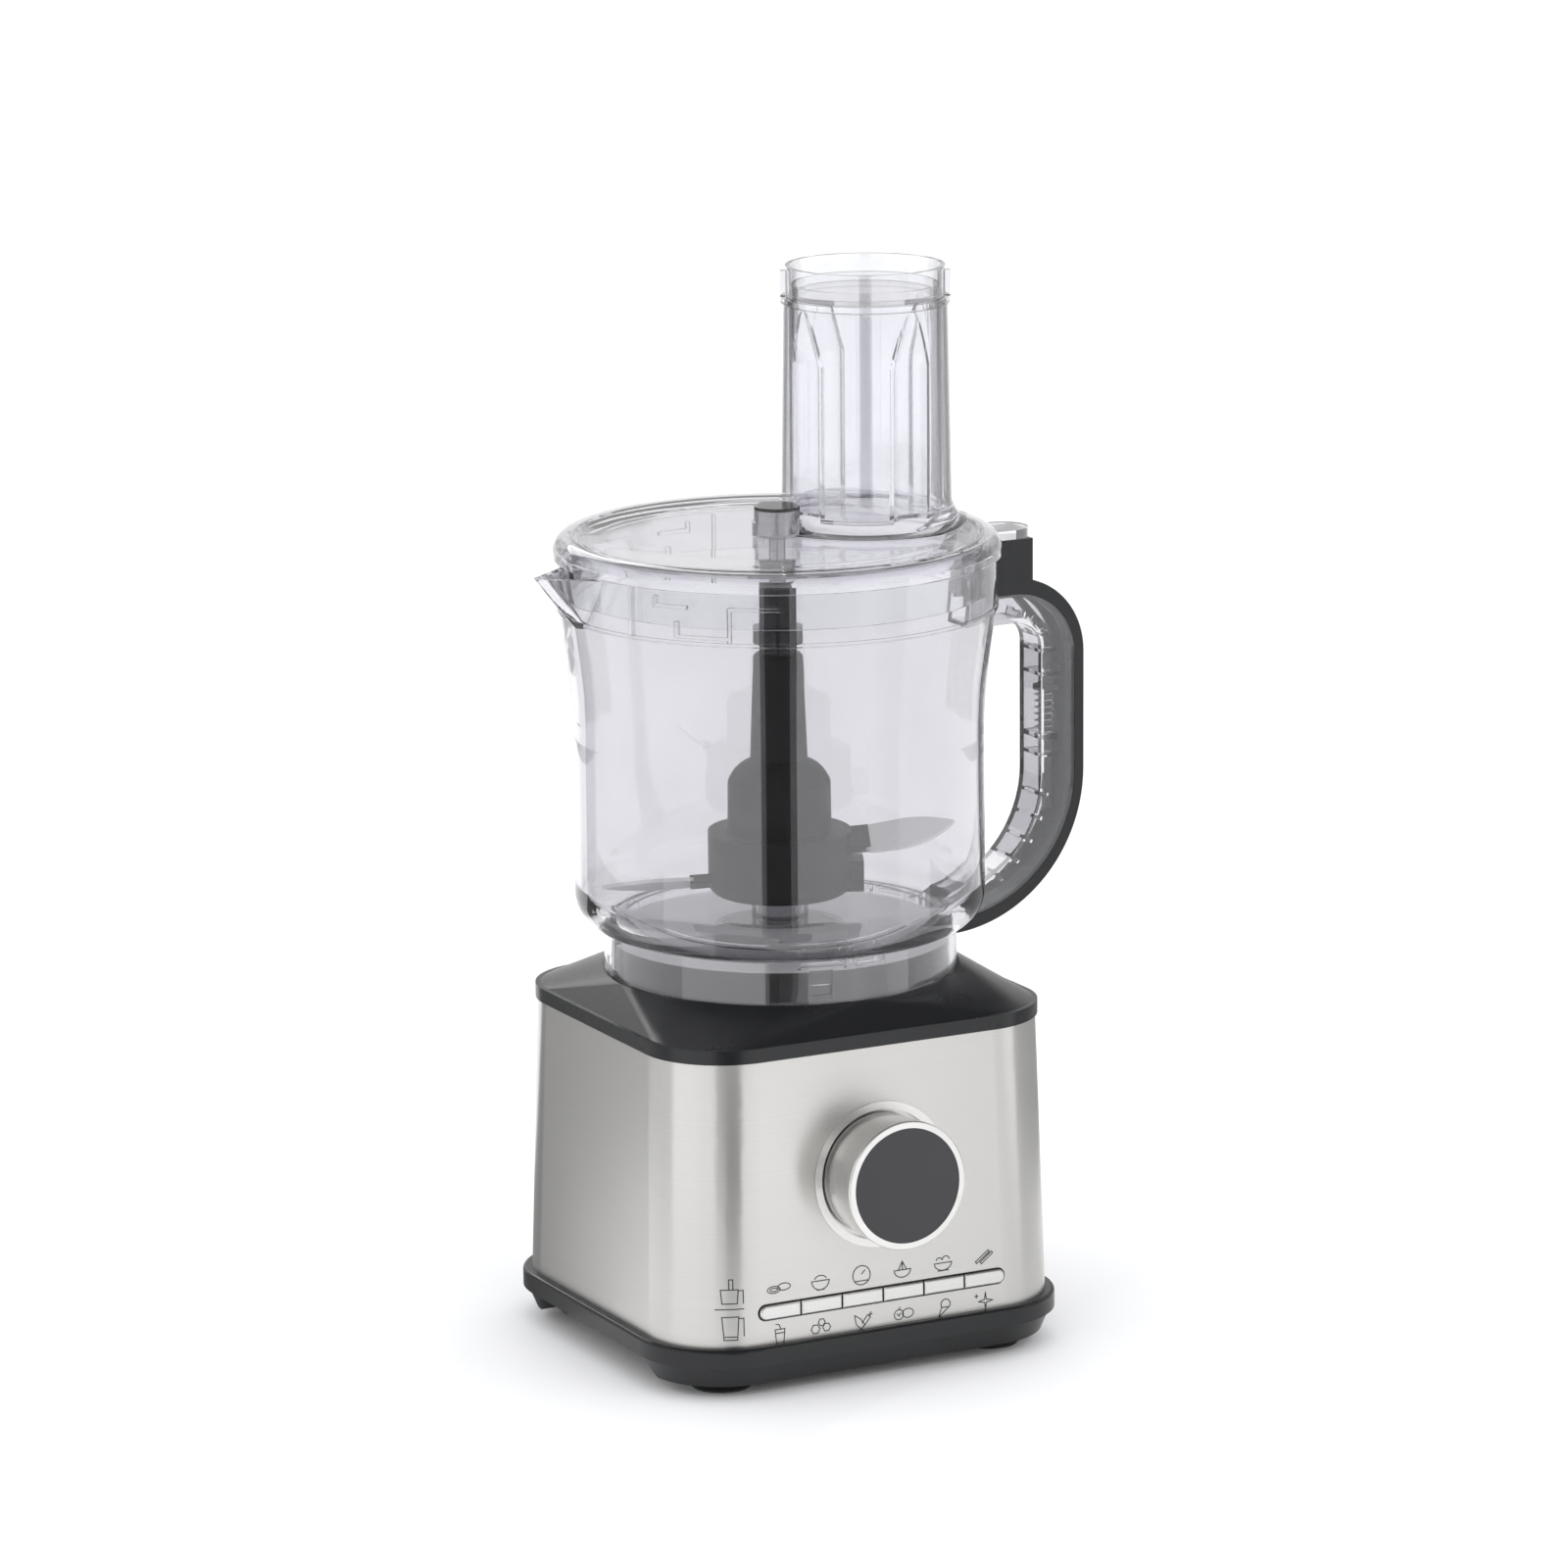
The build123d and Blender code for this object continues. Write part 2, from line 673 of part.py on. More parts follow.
with BuildPart() as planet_carrier:
    with Locations((0, 0, gear_top + 0.8)):
        Cylinder(24, 3.4, align=UP)
        Cylinder(8, 19.5, align=UP)
    with PolarLocations(planet_orbit, 3):
        with Locations((0, 0, gear_bottom - 0.8)):
            Cylinder(3.0, 13, align=UP)
    with Locations((0, 0, gear_top)):
        Cylinder(3.4, 1.6, align=UP, mode=Mode.SUBTRACT)
save(planet_carrier.part, "planet_carrier")

with BuildPart() as gearbox_lid:
    with Locations((0, 0, 128.6)):
        Cylinder(32, 2.6, align=UP)
        Cylinder(14.5, 9.4, align=UP)
        Cylinder(8.05, 9.4, align=UP, mode=Mode.SUBTRACT)
save(gearbox_lid.part, "gearbox_lid")

with BuildPart() as shaft_seal:
    with Locations((0, 0, 138)):
        Cylinder(17.5, 1.6, align=UP)
        Cylinder(8.1, 1.6, align=UP, mode=Mode.SUBTRACT)
save(shaft_seal.part, "shaft_seal")

with BuildPart() as output_coupling:
    with BuildSketch(Plane.XY.offset(141)):
        add(coupling_profile())
        Circle(6.0, mode=Mode.SUBTRACT)
    extrude(amount=12.5)
    with Locations((0, 0, 142.3)):
        Cylinder(6.0, 10.4, align=UP)
    with Locations((0, 0, 141)):
        Cylinder(8.0, 1.3, align=UP, mode=Mode.SUBTRACT)
save(output_coupling.part, "output_coupling")

with BuildPart() as interlock_switch:
    with Locations((69, 0, 112)):
        Box(7, 20, 11, align=UP)
    with Locations((69, 6, 123)):
        Box(3, 3, 1.6, align=UP)
save(interlock_switch.part, "interlock_switch")

# ---- bowl with its handle frame -------------------------------------------------------------

slider_path = ((98.5, 291.9), (98.5, 271.0), (113.5, 254.0), (113.5, 186.0))
slider_travel = 2.5


def slider_strip(width, depth, extra):
    """The interlock slider's bent strip, or the roomier slot that it runs in."""
    first, second, third, last = slider_path
    with BuildSketch(Plane.XZ) as strip:
        with BuildLine():
            Polyline((first[0], first[1] + extra), second, third, (last[0], last[1] - extra))
        trace(line_width=width)
    return slab(strip.sketch, depth)


slider_slot = slider_strip(4.0, 4.6, 3.0)
slider_slot += Pos(0, 0, -slider_travel) * slider_slot
spring_seat = 216.0
spring_top = 232.0
slider_x = slider_path[2][0]


# ribs of one lock: start and end angle, lowest and highest point
lock_ribs = (
    (208.0, 218.0, 288.0, 289.4),
    (208.0, 209.0, 288.0, 292.2),
    (214.3, 215.6, 277.4, 283.4),
    (214.3, 230.2, 277.4, 278.6),
    (229.2, 230.2, 276.6, 289.4),
    (229.2, 243.0, 288.2, 289.4),
    (200.2, 201.0, 276.0, 294.0),
)


def spout_section(z, tip, half_width, root):
    """Plan of the pouring lip at one height: a blunt wedge that points to -X."""
    with BuildSketch(Plane.XY.offset(z)) as wedge:
        with BuildLine():
            Line((-root, -half_width), (2.8 - tip, -3.6))
            ThreePointArc((2.8 - tip, -3.6), (-tip, 0), (2.8 - tip, 3.6))
            Line((2.8 - tip, 3.6), (-root, half_width))
            Line((-root, half_width), (-root, -half_width))
        make_face()
    return wedge.sketch


def handle_ribs():
    """Cross ribs in the handle's channel, fanned round the bends and level along the grip."""
    inner_x = grip_inner[0]
    with BuildPart() as ribs:
        for z in (208, 239, 248):
            with Locations((inner_x + 3.8, 0, z)):
                Box(7.2, 12.6, 1.3)
        with Locations((inner_x + 3.8, 0, spring_seat - 1)):
            Box(7.2, 12.6, 2.0)
        top_centre = (inner_x - grip_inner[2], grip_inner[1] - grip_inner[2])
        for angle in (22, 48, 76):
            spot = Plane(origin=(top_centre[0], 0, top_centre[1])).rotated((0, -angle, 0))
            with Locations(spot):
                with Locations((grip_inner[2] + 2.6, 0, 0)):
                    Box(4.0, 12.6, 1.3)
        low_centre = inner_x - grip_inner[3]
        for angle in (11, 22, 33, 44, 55):
            spot = Plane(origin=(low_centre, 0, grip_low)).rotated((0, angle, 0))
            with Locations(spot):
                with Locations((grip_inner[3] + 2.5, 0, 0)):
                    Box(4.2, 12.6, 1.3)
    return ribs.part


with BuildPart() as bowl:
    add(revolve(bowl_wall(0, floor_underside, bowl_rim), axis=Axis.Z, mode=Mode.PRIVATE))
    with Locations((0, 0, bowl_bottom)):
        Cylinder(skirt_radius, floor_underside - bowl_bottom + 1, align=UP)
    add(slab(crook(grip_seam) - crook(grip_inner), grip_width))
    add(slab(crook(grip_seam, 1) - crook(grip_inner, 1.8), grip_width - 3.8), mode=Mode.SUBTRACT)
    add(handle_ribs())
    add(slider_slot, mode=Mode.SUBTRACT)
    with Locations((slider_x, 0, spring_seat)):
        Cylinder(4.6, 22, align=UP, mode=Mode.SUBTRACT)
    add(spout_section(275, 83.0, 10.5, 74))
    add(spout_section(285, 91.4, 16.0, 74))
    add(spout_section(bowl_rim, 99, 21.0, 74))
    loft(ruled=True)
    add(spout_section(277.4, 81.2, 8.8, 68))
    add(spout_section(287, 90.2, 14.6, 68))
    add(spout_section(bowl_rim + 1, 97.0, 19.6, 68))
    loft(ruled=True, mode=Mode.SUBTRACT)
    with Locations((0, 0, band_bottom)):
        Cylinder(band_radius + band_bead, 1.5, align=UP)
    hollow = revolve(bowl_wall(wall, floor_top, bowl_rim + 1), axis=Axis.Z, mode=Mode.PRIVATE)
    add(hollow, mode=Mode.SUBTRACT)
    with Locations((0, 0, bowl_bottom - 1)):
        Cylinder(skirt_radius - wall, floor_underside - bowl_bottom + 1, align=UP, mode=Mode.SUBTRACT)
    with Locations((0, 0, floor_underside)):
        Cylinder(column_radius, column_top - floor_underside, align=UP)
    # lugs of the skirt, webs under the floor and a bead round the blade unit's landing
    with PolarLocations(skirt_radius - wall - 0.9, 4, start_angle=lug_angle):
        with Locations((0, 0, bowl_bottom + 2.5)):
            Box(2.6, 7, 4, align=UP)
    for turn in (0, 120, 240):
        for start, end in ((248.0, 249.0), (263.6, 264.4), (268.0, 268.8), (278.0, 279.0)):
            add(arc_rib(58.5, 64.0, start + turn, end + turn, 152.4, floor_underside + 0.5))
        add(arc_rib(61.0, 64.0, 249.0 + turn, 264.0 + turn, 153.4, 154.4))
        add(arc_rib(61.0, 64.0, 268.5 + turn, 278.5 + turn, 152.4, 153.4))
    add(arc_rib(58.6, 60.2, 0, 180, floor_top - 0.5, floor_top + 0.8))
    add(arc_rib(58.6, 60.2, 180, 360, floor_top - 0.5, floor_top + 0.8))
    # stepped ribs in the band that the lid locks under, three times round
    rib_face = band_radius - wall - lock_rib_height
    for turn in (0, 120, 240):
        for start, end, low, high in lock_ribs:
            add(arc_rib(rib_face, band_radius - 1, start + turn, end + turn, low, high))
    with Locations((0, 0, floor_underside - 1)):
        Cylinder(6.05, 40, align=UP, mode=Mode.SUBTRACT)
save(bowl.part, "bowl")

with BuildSketch(Plane.XZ) as block_side:
    with Locations(((60 + block_reach) / 2, (grip_seam[1] - 1 + block_top) / 2)):
        Rectangle(block_reach - 60, block_top - grip_seam[1] + 1)

with BuildPart() as handle_cover:
    add(slab(crook(grip_outer) - crook(grip_seam, 0.02), grip_width + 0.4))
    add(slab(block_side.sketch - crook(grip_seam, 0.02), grip_width + 0.4))
    legs = crook(grip_seam, 0.3) - crook(grip_legs)
    add(slab(legs, grip_width - 4.0))
    add(slab(crook(grip_seam, 0.02), grip_width - 7.0), mode=Mode.SUBTRACT)
    with Locations((0, 0, bowl_bottom - 1)):
        Cylinder(skirt_radius + 0.05, 40, align=UP, mode=Mode.SUBTRACT)
    outside = revolve(bowl_wall(-0.05, floor_underside, bowl_rim), axis=Axis.Z, mode=Mode.PRIVATE)
    add(outside, mode=Mode.SUBTRACT)
    with Locations((0, 0, band_bottom - 0.05)):
        Cylinder(band_radius + band_bead + 0.05, 1.6, align=UP, mode=Mode.SUBTRACT)
    add(slider_slot, mode=Mode.SUBTRACT)
save(handle_cover.part, "handle_cover")

with BuildPart() as interlock_slider:
    add(slider_strip(2.4, 3.0, 0.0))
    with Locations((slider_x, 0, spring_top)):
        Cylinder(3.9, 1.8, align=UP)
save(interlock_slider.part, "interlock_slider")

with BuildPart() as interlock_spring:
    with BuildLine(Plane((slider_x, 0, spring_seat + 0.45))) as coil:
        Helix(pitch=2.5, height=spring_top - spring_seat - 0.9, radius=3.0)
    with BuildSketch(Plane(coil.line @ 0, z_dir=coil.line % 0)):
        Circle(0.4)
    sweep(path=coil.line, is_frenet=True)
save(interlock_spring.part, "interlock_spring")

# ---- drive spindle and blade unit -----------------------------------------------------------

with BuildPart() as spindle_coupling:
    with Locations((0, 0, 143.2)):
        Cylinder(16.5, 12.0, align=UP)
    with BuildSketch(Plane.XY.offset(143)):
        add(coupling_profile(0.45))
    extrude(amount=11.2, mode=Mode.SUBTRACT)
save(spindle_coupling.part, "spindle_coupling")

with BuildPart() as drive_spindle:
    with Locations((0, 0, 155.2)):
        Cylinder(6.0, 30, align=UP)
    with Locations((0, 0, 185.2)):
        Cylinder(spindle_radius, 60, align=UP)
save(drive_spindle.part, "drive_spindle")

hub_bottom = 166.8
hub_step = 190.7
hub_neck = 217.6
hub_top = 257.6
blade_angle = -26.0
blade_pitch = 23.0
upper_place = (blade_angle, 184.0, 5)
lower_place = (blade_angle + 180, 173.3, -4)


def blade_plane(turn, root_z, slope):
    """Plane of one blade: local X runs outwards, local Y across with the leading edge down."""
    outward = Vector(cos(radians(turn)), sin(radians(turn)), sin(radians(slope)))
    level = Vector(-sin(radians(turn)), cos(radians(turn)), 0)
    across = level * cos(radians(blade_pitch)) + outward.cross(level) * sin(radians(blade_pitch))
    return Plane(origin=(0, 0, root_z), x_dir=outward, z_dir=outward.cross(across))


with BuildPart() as blade_hub:
    with BuildSketch(Plane.XZ):
        with BuildLine():
            Line((12.6, hub_bottom), (22.0, hub_bottom))
            ThreePointArc((22.0, hub_bottom), (25.2, hub_bottom + 1.3), (26.6, hub_bottom + 4.4))
            Line((26.6, hub_bottom + 4.4), (26.6, hub_step))
            Line((26.6, hub_step), (19.3, hub_step))
            Line((19.3, hub_step), (19.1, 209.0))
            ThreePointArc((19.1, 209.0), (16.6, 213.6), (10.7, hub_neck))
            Line((10.7, hub_neck), (9.2, hub_top - 1))
            Line((9.2, hub_top - 1), (8.2, hub_top))
            Line((8.2, hub_top), (0, hub_top))
            Line((0, hub_top), (0, 187))
            Line((0, 187), (12.6, 187))
            Line((12.6, 187), (12.6, hub_bottom))
        make_face()
    revolve(axis=Axis.Z)
    # pitched roots that hold the two blades, and an ear below the upper one
    for turn, root_z, slope in (upper_place, lower_place):
        with Locations(blade_plane(turn, root_z, slope)):
            with Locations((23.5, 0, 0)):
                Box(20, 13, 3.2)
    with Locations(Plane(origin=(0, 0, 173.8)).rotated((0, 0, blade_angle))):
        with Locations((25, 0, 0)):
            Box(12, 13, 11.5)
    with Locations((0, 0, 160)):
        Cylinder(12.6, 27, align=UP, mode=Mode.SUBTRACT)
        Cylinder(spindle_radius, 85.2, align=UP, mode=Mode.SUBTRACT)


def blade(turn, root_z, slope):
    """Curved knife, flat in its own plane: blunt back, bellied edge and a pointed tip."""
    with BuildPart() as knife:
        with BuildSketch(blade_plane(turn, root_z, slope)):
            with BuildLine():
                Line((16, -5.5), (31, -5.5))
                Line((31, -5.5), (33.2, -8.6))
                Spline((33.2, -8.6), (50, -7.0), (66, 5.0), tangents=((1, 0), (0.6, 0.8)))
                Spline((66, 5.0), (52, 9.4), (33.2, 7.5), tangents=((-0.8, 0.4), (-1, -0.1)))
                Line((33.2, 7.5), (31, 5.5))
                Line((31, 5.5), (16, 5.5))
                Line((16, 5.5), (16, -5.5))
            make_face()
        extrude(amount=0.7, both=True)
    return knife.part


upper_knife = blade(*upper_place)
lower_knife = blade(*lower_place)
save(blade_hub.part - upper_knife - lower_knife, "blade_hub")
save(upper_knife, "upper_blade")
save(lower_knife, "lower_blade")

with BuildPart() as hub_stem:
    with Locations((0, 0, hub_top)):
        Cylinder(6.9, 32.0, align=UP)
    with Locations((0, 0, 261.5)):
        Cylinder(9.2, 6.3, align=UP)
    with Locations((0, 0, 275)):
        Cylinder(3.0, 20, align=UP, mode=Mode.SUBTRACT)
save(hub_stem.part, "hub_stem")

with BuildPart() as guide_pin:
    with Locations((0, 0, 275)):
        Cylinder(3.0, 33, align=UP)
    fillet(guide_pin.edges().sort_by(Axis.Z)[-1], 1.0)
save(guide_pin.part, "guide_pin")

# ---- lid, chute and pusher ------------------------------------------------------------------

chute_place = (chute_x, chute_y)
chute_wall = 2.0
chute_flare = 8.5
skirt_bottom = 281.0
bush_radius = 7.3

with BuildPart() as lid:
    with BuildSketch(Plane.XZ):
        with BuildLine():
            Line((0, lid_plate), (50, lid_plate))
            Spline((50, lid_plate), (64, 302.3), (76, 303.0), tangents=((1, 0), (1, 0)))
            ThreePointArc((76, 303.0), (80.8, 301.5), (lid_radius, 297.8))
            Line((lid_radius, 297.8), (lid_radius, lid_bottom))
            Line((lid_radius, lid_bottom), (lid_radius - 2.0, lid_bottom))
            Line((lid_radius - 2.0, lid_bottom), (lid_radius - 2.0, 297.6))
            ThreePointArc((lid_radius - 2.0, 297.6), (79.3, 300.0), (75.8, 300.9))
            Spline((75.8, 300.9), (64, 300.1), (50, lid_plate - 2.2), tangents=((-1, 0), (-1, 0)))
            Line((50, lid_plate - 2.2), (0, lid_plate - 2.2))
            Line((0, lid_plate - 2.2), (0, lid_plate))
        make_face()
    revolve(axis=Axis.Z)
    # tab over the handle, clear of the bowl's rim under the lid
    with BuildSketch(Plane.XY.offset(292.5)):
        with Locations((88, 0)):
            Rectangle(13.2, 20)
        with Locations((94.6, 0)):
            Circle(10)
    extrude(amount=3.4)
    with Locations((0, 0, 290)):
        Cylinder(band_radius + 0.3, 4.9, align=UP, mode=Mode.SUBTRACT)
    # skirt that drops inside the bowl's band
    with Locations((0, 0, skirt_bottom)):
        Cylinder(75.4, lid_plate - 0.8 - skirt_bottom, align=UP)
        Cylinder(73.6, lid_plate - 2.2 - skirt_bottom, align=UP, mode=Mode.SUBTRACT)
    # feed chute, flared where it meets the plate
    with Locations((*chute_place, lid_plate - 1)):
        Cone(chute_base_radius, chute_top_radius, chute_top - lid_plate + 1, align=UP)
    with BuildSketch(Plane(origin=(*chute_place, lid_plate), x_dir=(1, 0, 0), z_dir=(0, -1, 0))):
        with BuildLine():
            Line((31, -1), (31, chute_flare))
            Line((31, chute_flare), (32.0, chute_flare))
            ThreePointArc((32.0, chute_flare), (34.6, 2.9), (32.0 + chute_flare, 0.1))
            Line((32.0 + chute_flare, 0.1), (32.0 + chute_flare, -1))
            Line((32.0 + chute_flare, -1), (31, -1))
        make_face()
    revolve(axis=Axis((*chute_place, 0), (0, 0, 1)))
    with Locations((*chute_place, lid_plate - 4)):
        Cone(
            chute_base_radius - chute_wall,
            chute_top_radius - chute_wall,
            chute_top - lid_plate + 5,
            align=UP,
            mode=Mode.SUBTRACT,
        )
    # centre boss with a waist line
    with Locations((0, 0, lid_plate)):
        Cylinder(9.2, 4.8, align=UP)
    with Locations((0, 0, lid_plate + 4.8)):
        Cylinder(8.5, 5.8, align=UP)
    with Locations((0, 0, lid_plate - 3)):
        Cylinder(bush_radius, 12.2, align=UP, mode=Mode.SUBTRACT)
save(lid.part, "lid")

with BuildPart() as lid_bush:
    with Locations((0, 0, 299.8)):
        Cylinder(bush_radius, 11.4, align=UP)
        Cylinder(3.05, 10.4, align=UP, mode=Mode.SUBTRACT)
save(lid_bush.part, "lid_bush")

flute_angle = -81.0
flute_offset = 33.5
flute_radius = 10.4
flute_top = 363.0
pusher_shoulder = chute_top + 0.3


def flutes(grow, bottom):
    """Four finger grooves down the pusher, fading out in a cone towards the shoulder."""
    with BuildPart() as grooves:
        with Locations((*chute_place, 0)):
            with PolarLocations(flute_offset, 4, start_angle=flute_angle):
                with Locations((0, 0, bottom)):
                    Cylinder(flute_radius + grow, flute_top - bottom, align=UP)
                with Locations((0, 0, flute_top)):
                    Cone(flute_radius + grow, flute_offset - pusher_radius + grow, 20.5, align=UP)
    return grooves.part


with BuildPart() as pusher:
    with Locations((*chute_place, 304)):
        Cylinder(pusher_radius, pusher_shoulder - 304 + 2, align=UP)
    add(flutes(0, 300), mode=Mode.SUBTRACT)
    with BuildPart(mode=Mode.PRIVATE) as cavity:
        with Locations((*chute_place, 306)):
            Cylinder(pusher_radius - 1.8, 90, align=UP)
        add(flutes(1.8, 300), mode=Mode.SUBTRACT)
    add(cavity.part, mode=Mode.SUBTRACT)
    with Locations((*chute_place, pusher_shoulder)):
        Cylinder(31.3, 2.2, align=UP)
        Cylinder(pusher_radius - 1.8, 2.2, align=UP, mode=Mode.SUBTRACT)
    with Locations((*chute_place, pusher_shoulder + 2.2)):
        Cylinder(29.6, pusher_top - pusher_shoulder - 2.2, align=UP)
        Cylinder(27.8, pusher_top - pusher_shoulder - 2.2, align=UP, mode=Mode.SUBTRACT)
        with PolarLocations(30.3, 2, start_angle=-28):
            Box(2.2, 5, pusher_top - pusher_shoulder - 4.2, align=UP)
save(pusher.part, "pusher")

with BuildPart() as pusher_cap:
    with Locations((*chute_place, pusher_shoulder + 2.2)):
        Cylinder(27.7, 1.8, align=UP)
    with Locations((*chute_place, pusher_shoulder + 4.0)):
        Cylinder(27.7, 3.0, align=UP)
        Cylinder(26.2, 3.0, align=UP, mode=Mode.SUBTRACT)
save(pusher_cap.part, "pusher_cap")
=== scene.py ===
import json
import math

import bmesh
import bpy
from mathutils import Matrix, Vector
from mathutils.bvhtree import BVHTree


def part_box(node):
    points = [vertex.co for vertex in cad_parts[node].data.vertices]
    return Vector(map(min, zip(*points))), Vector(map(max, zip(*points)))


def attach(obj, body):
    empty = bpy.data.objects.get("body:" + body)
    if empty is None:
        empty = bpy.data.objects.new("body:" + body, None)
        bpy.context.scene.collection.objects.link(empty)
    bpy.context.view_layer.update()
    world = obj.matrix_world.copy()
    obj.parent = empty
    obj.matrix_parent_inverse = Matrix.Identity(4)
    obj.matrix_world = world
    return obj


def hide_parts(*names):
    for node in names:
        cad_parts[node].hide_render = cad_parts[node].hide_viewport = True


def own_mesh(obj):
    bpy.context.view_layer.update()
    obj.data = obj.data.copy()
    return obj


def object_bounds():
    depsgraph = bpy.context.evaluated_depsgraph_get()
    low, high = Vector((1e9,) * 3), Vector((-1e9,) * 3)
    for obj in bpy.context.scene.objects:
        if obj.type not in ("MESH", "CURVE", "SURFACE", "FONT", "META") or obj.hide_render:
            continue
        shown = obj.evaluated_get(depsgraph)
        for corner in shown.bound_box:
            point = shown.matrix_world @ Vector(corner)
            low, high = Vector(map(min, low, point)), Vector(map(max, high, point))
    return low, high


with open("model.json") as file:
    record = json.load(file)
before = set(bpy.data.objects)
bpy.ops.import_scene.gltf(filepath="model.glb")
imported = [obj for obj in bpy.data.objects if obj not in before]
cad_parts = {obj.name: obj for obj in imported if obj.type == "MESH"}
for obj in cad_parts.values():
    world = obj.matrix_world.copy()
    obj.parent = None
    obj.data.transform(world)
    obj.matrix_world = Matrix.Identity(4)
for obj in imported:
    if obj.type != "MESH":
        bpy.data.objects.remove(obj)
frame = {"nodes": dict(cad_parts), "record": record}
cad_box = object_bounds()
nodes = frame["nodes"]
record = frame["record"]
scene = bpy.context.scene

# ---- camera -------------------------------------------------------------------------------

# direction, roll and lens of the view, looking at a point on the drive axis
VIEW_AZIMUTH = math.radians(27.55)
VIEW_ELEVATION = math.radians(12.67)
VIEW_ROLL = -0.0082
VIEW_DISTANCE = 2.646
LOOK_HEIGHT = 0.2077
LENS = 164.03
SHIFT = 0.0031

forward = Vector((
    math.sin(VIEW_AZIMUTH) * math.cos(VIEW_ELEVATION),
    math.cos(VIEW_AZIMUTH) * math.cos(VIEW_ELEVATION),
    -math.sin(VIEW_ELEVATION),
))
right = Vector((math.cos(VIEW_AZIMUTH), -math.sin(VIEW_AZIMUTH), 0))
up = right.cross(forward)
camera_right = right * math.cos(VIEW_ROLL) + up * math.sin(VIEW_ROLL)
camera_up = up * math.cos(VIEW_ROLL) - right * math.sin(VIEW_ROLL)
camera_place = Vector((0, 0, LOOK_HEIGHT)) - forward * VIEW_DISTANCE
turn = Matrix((camera_right, camera_up, -forward)).transposed().to_4x4()

camera_data = bpy.data.cameras.new("product_camera")
camera_data.lens = LENS
camera_data.sensor_width = 36
camera_data.shift_x = SHIFT
camera_data.clip_end = 60
camera = bpy.data.objects.new("product_camera", camera_data)
camera.matrix_world = Matrix.Translation(camera_place) @ turn
scene.collection.objects.link(camera)
scene.camera = camera

scene.view_settings.view_transform = "Standard"
# the clear parts stand several walls deep, so rays need many bounces
scene.cycles.max_bounces = 32
scene.cycles.transmission_bounces = 28
scene.cycles.transparent_max_bounces = 24
scene.cycles.glossy_bounces = 12

# ---- node helpers -------------------------------------------------------------------------


class Shader:
    """One material under construction: a Principled shader and the nodes that feed it."""

    def __init__(self, name):
        self.material = bpy.data.materials.new(name)
        self.material.use_nodes = True
        self.tree = self.material.node_tree
        self.surface = self.tree.nodes["Principled BSDF"]
        self.coords = self.tree.nodes.new("ShaderNodeTexCoord")

    def set(self, **values):
        """Constants on the shader's own sockets; underscores stand for spaces."""
        for key, value in values.items():
            self.surface.inputs[key.replace("_", " ")].default_value = value
        return self

    def link(self, source, target):
        self.tree.links.new(source, target)

    def feed(self, source, socket):
        self.link(source, self.surface.inputs[socket])

    def stretched(self, scale):
        """Object coordinates stretched by a scale per axis."""
        mapping = self.tree.nodes.new("ShaderNodeMapping")
        mapping.inputs["Scale"].default_value = scale
        self.link(self.coords.outputs["Object"], mapping.inputs["Vector"])
        return mapping.outputs["Vector"]

    def noise(self, scale, detail=2.0, rough=0.5):
        """Noise in object space; scale is one number or a scale per axis."""
        node = self.tree.nodes.new("ShaderNodeTexNoise")
        spread = scale if isinstance(scale, tuple) else (scale, scale, scale)
        node.inputs["Scale"].default_value = 1.0
        node.inputs["Detail"].default_value = detail
        node.inputs["Roughness"].default_value = rough
        self.link(self.stretched(spread), node.inputs["Vector"])
        return node.outputs["Fac"]

    def bands(self, scale, direction="Z"):
        """Regular bands across one axis, for windings and stacked sheets."""
        node = self.tree.nodes.new("ShaderNodeTexWave")
        node.bands_direction = direction
        node.inputs["Scale"].default_value = scale
        node.inputs["Distortion"].default_value = 0.0
        self.link(self.coords.outputs["Object"], node.inputs["Vector"])
        return node.outputs["Fac"]

    def span(self, source, low, high, start=0.3, end=0.7):
        """Numbers between low and high, following a pattern."""
        node = self.tree.nodes.new("ShaderNodeMapRange")
        node.inputs["From Min"].default_value = start
        node.inputs["From Max"].default_value = end
        node.inputs["To Min"].default_value = low
        node.inputs["To Max"].default_value = high
        self.link(source, node.inputs["Value"])
        return node.outputs["Result"]

    def tint(self, source, dark, light, start=0.35, end=0.65):
        """Colours between dark and light, following a pattern."""
        ramp = self.tree.nodes.new("ShaderNodeValToRGB")
        ramp.color_ramp.elements[0].position = start
        ramp.color_ramp.elements[0].color = (*dark, 1)
        ramp.color_ramp.elements[1].position = end
        ramp.color_ramp.elements[1].color = (*light, 1)
        self.link(source, ramp.inputs["Fac"])
        return ramp.outputs["Color"]

    def bump(self, source, depth, strength=1.0):
        """Height pattern in metres."""
        node = self.tree.nodes.new("ShaderNodeBump")
        node.inputs["Strength"].default_value = strength
        node.inputs["Distance"].default_value = depth
        self.link(source, node.inputs["Height"])
        return node.outputs["Normal"]


def shade(colour, factor):
    """The same colour, lighter or darker."""
    return tuple(min(1.0, channel * factor) for channel in colour)


def moulded(name, colour, rough, grain=1600.0, depth=0.00002, vary=0.08):
    """Moulded plastic: fine spark-eroded grain and slight changes of tone and sheen."""
    s = Shader(name)
    s.feed(s.tint(s.noise(9.0, 3.0), shade(colour, 1 - vary), shade(colour, 1 + vary)), "Base Color")
    s.feed(s.span(s.noise(60.0, 4.0), rough - 0.015, rough + 0.02), "Roughness")
    s.feed(s.bump(s.noise(grain, 2.0), depth), "Normal")
    return s


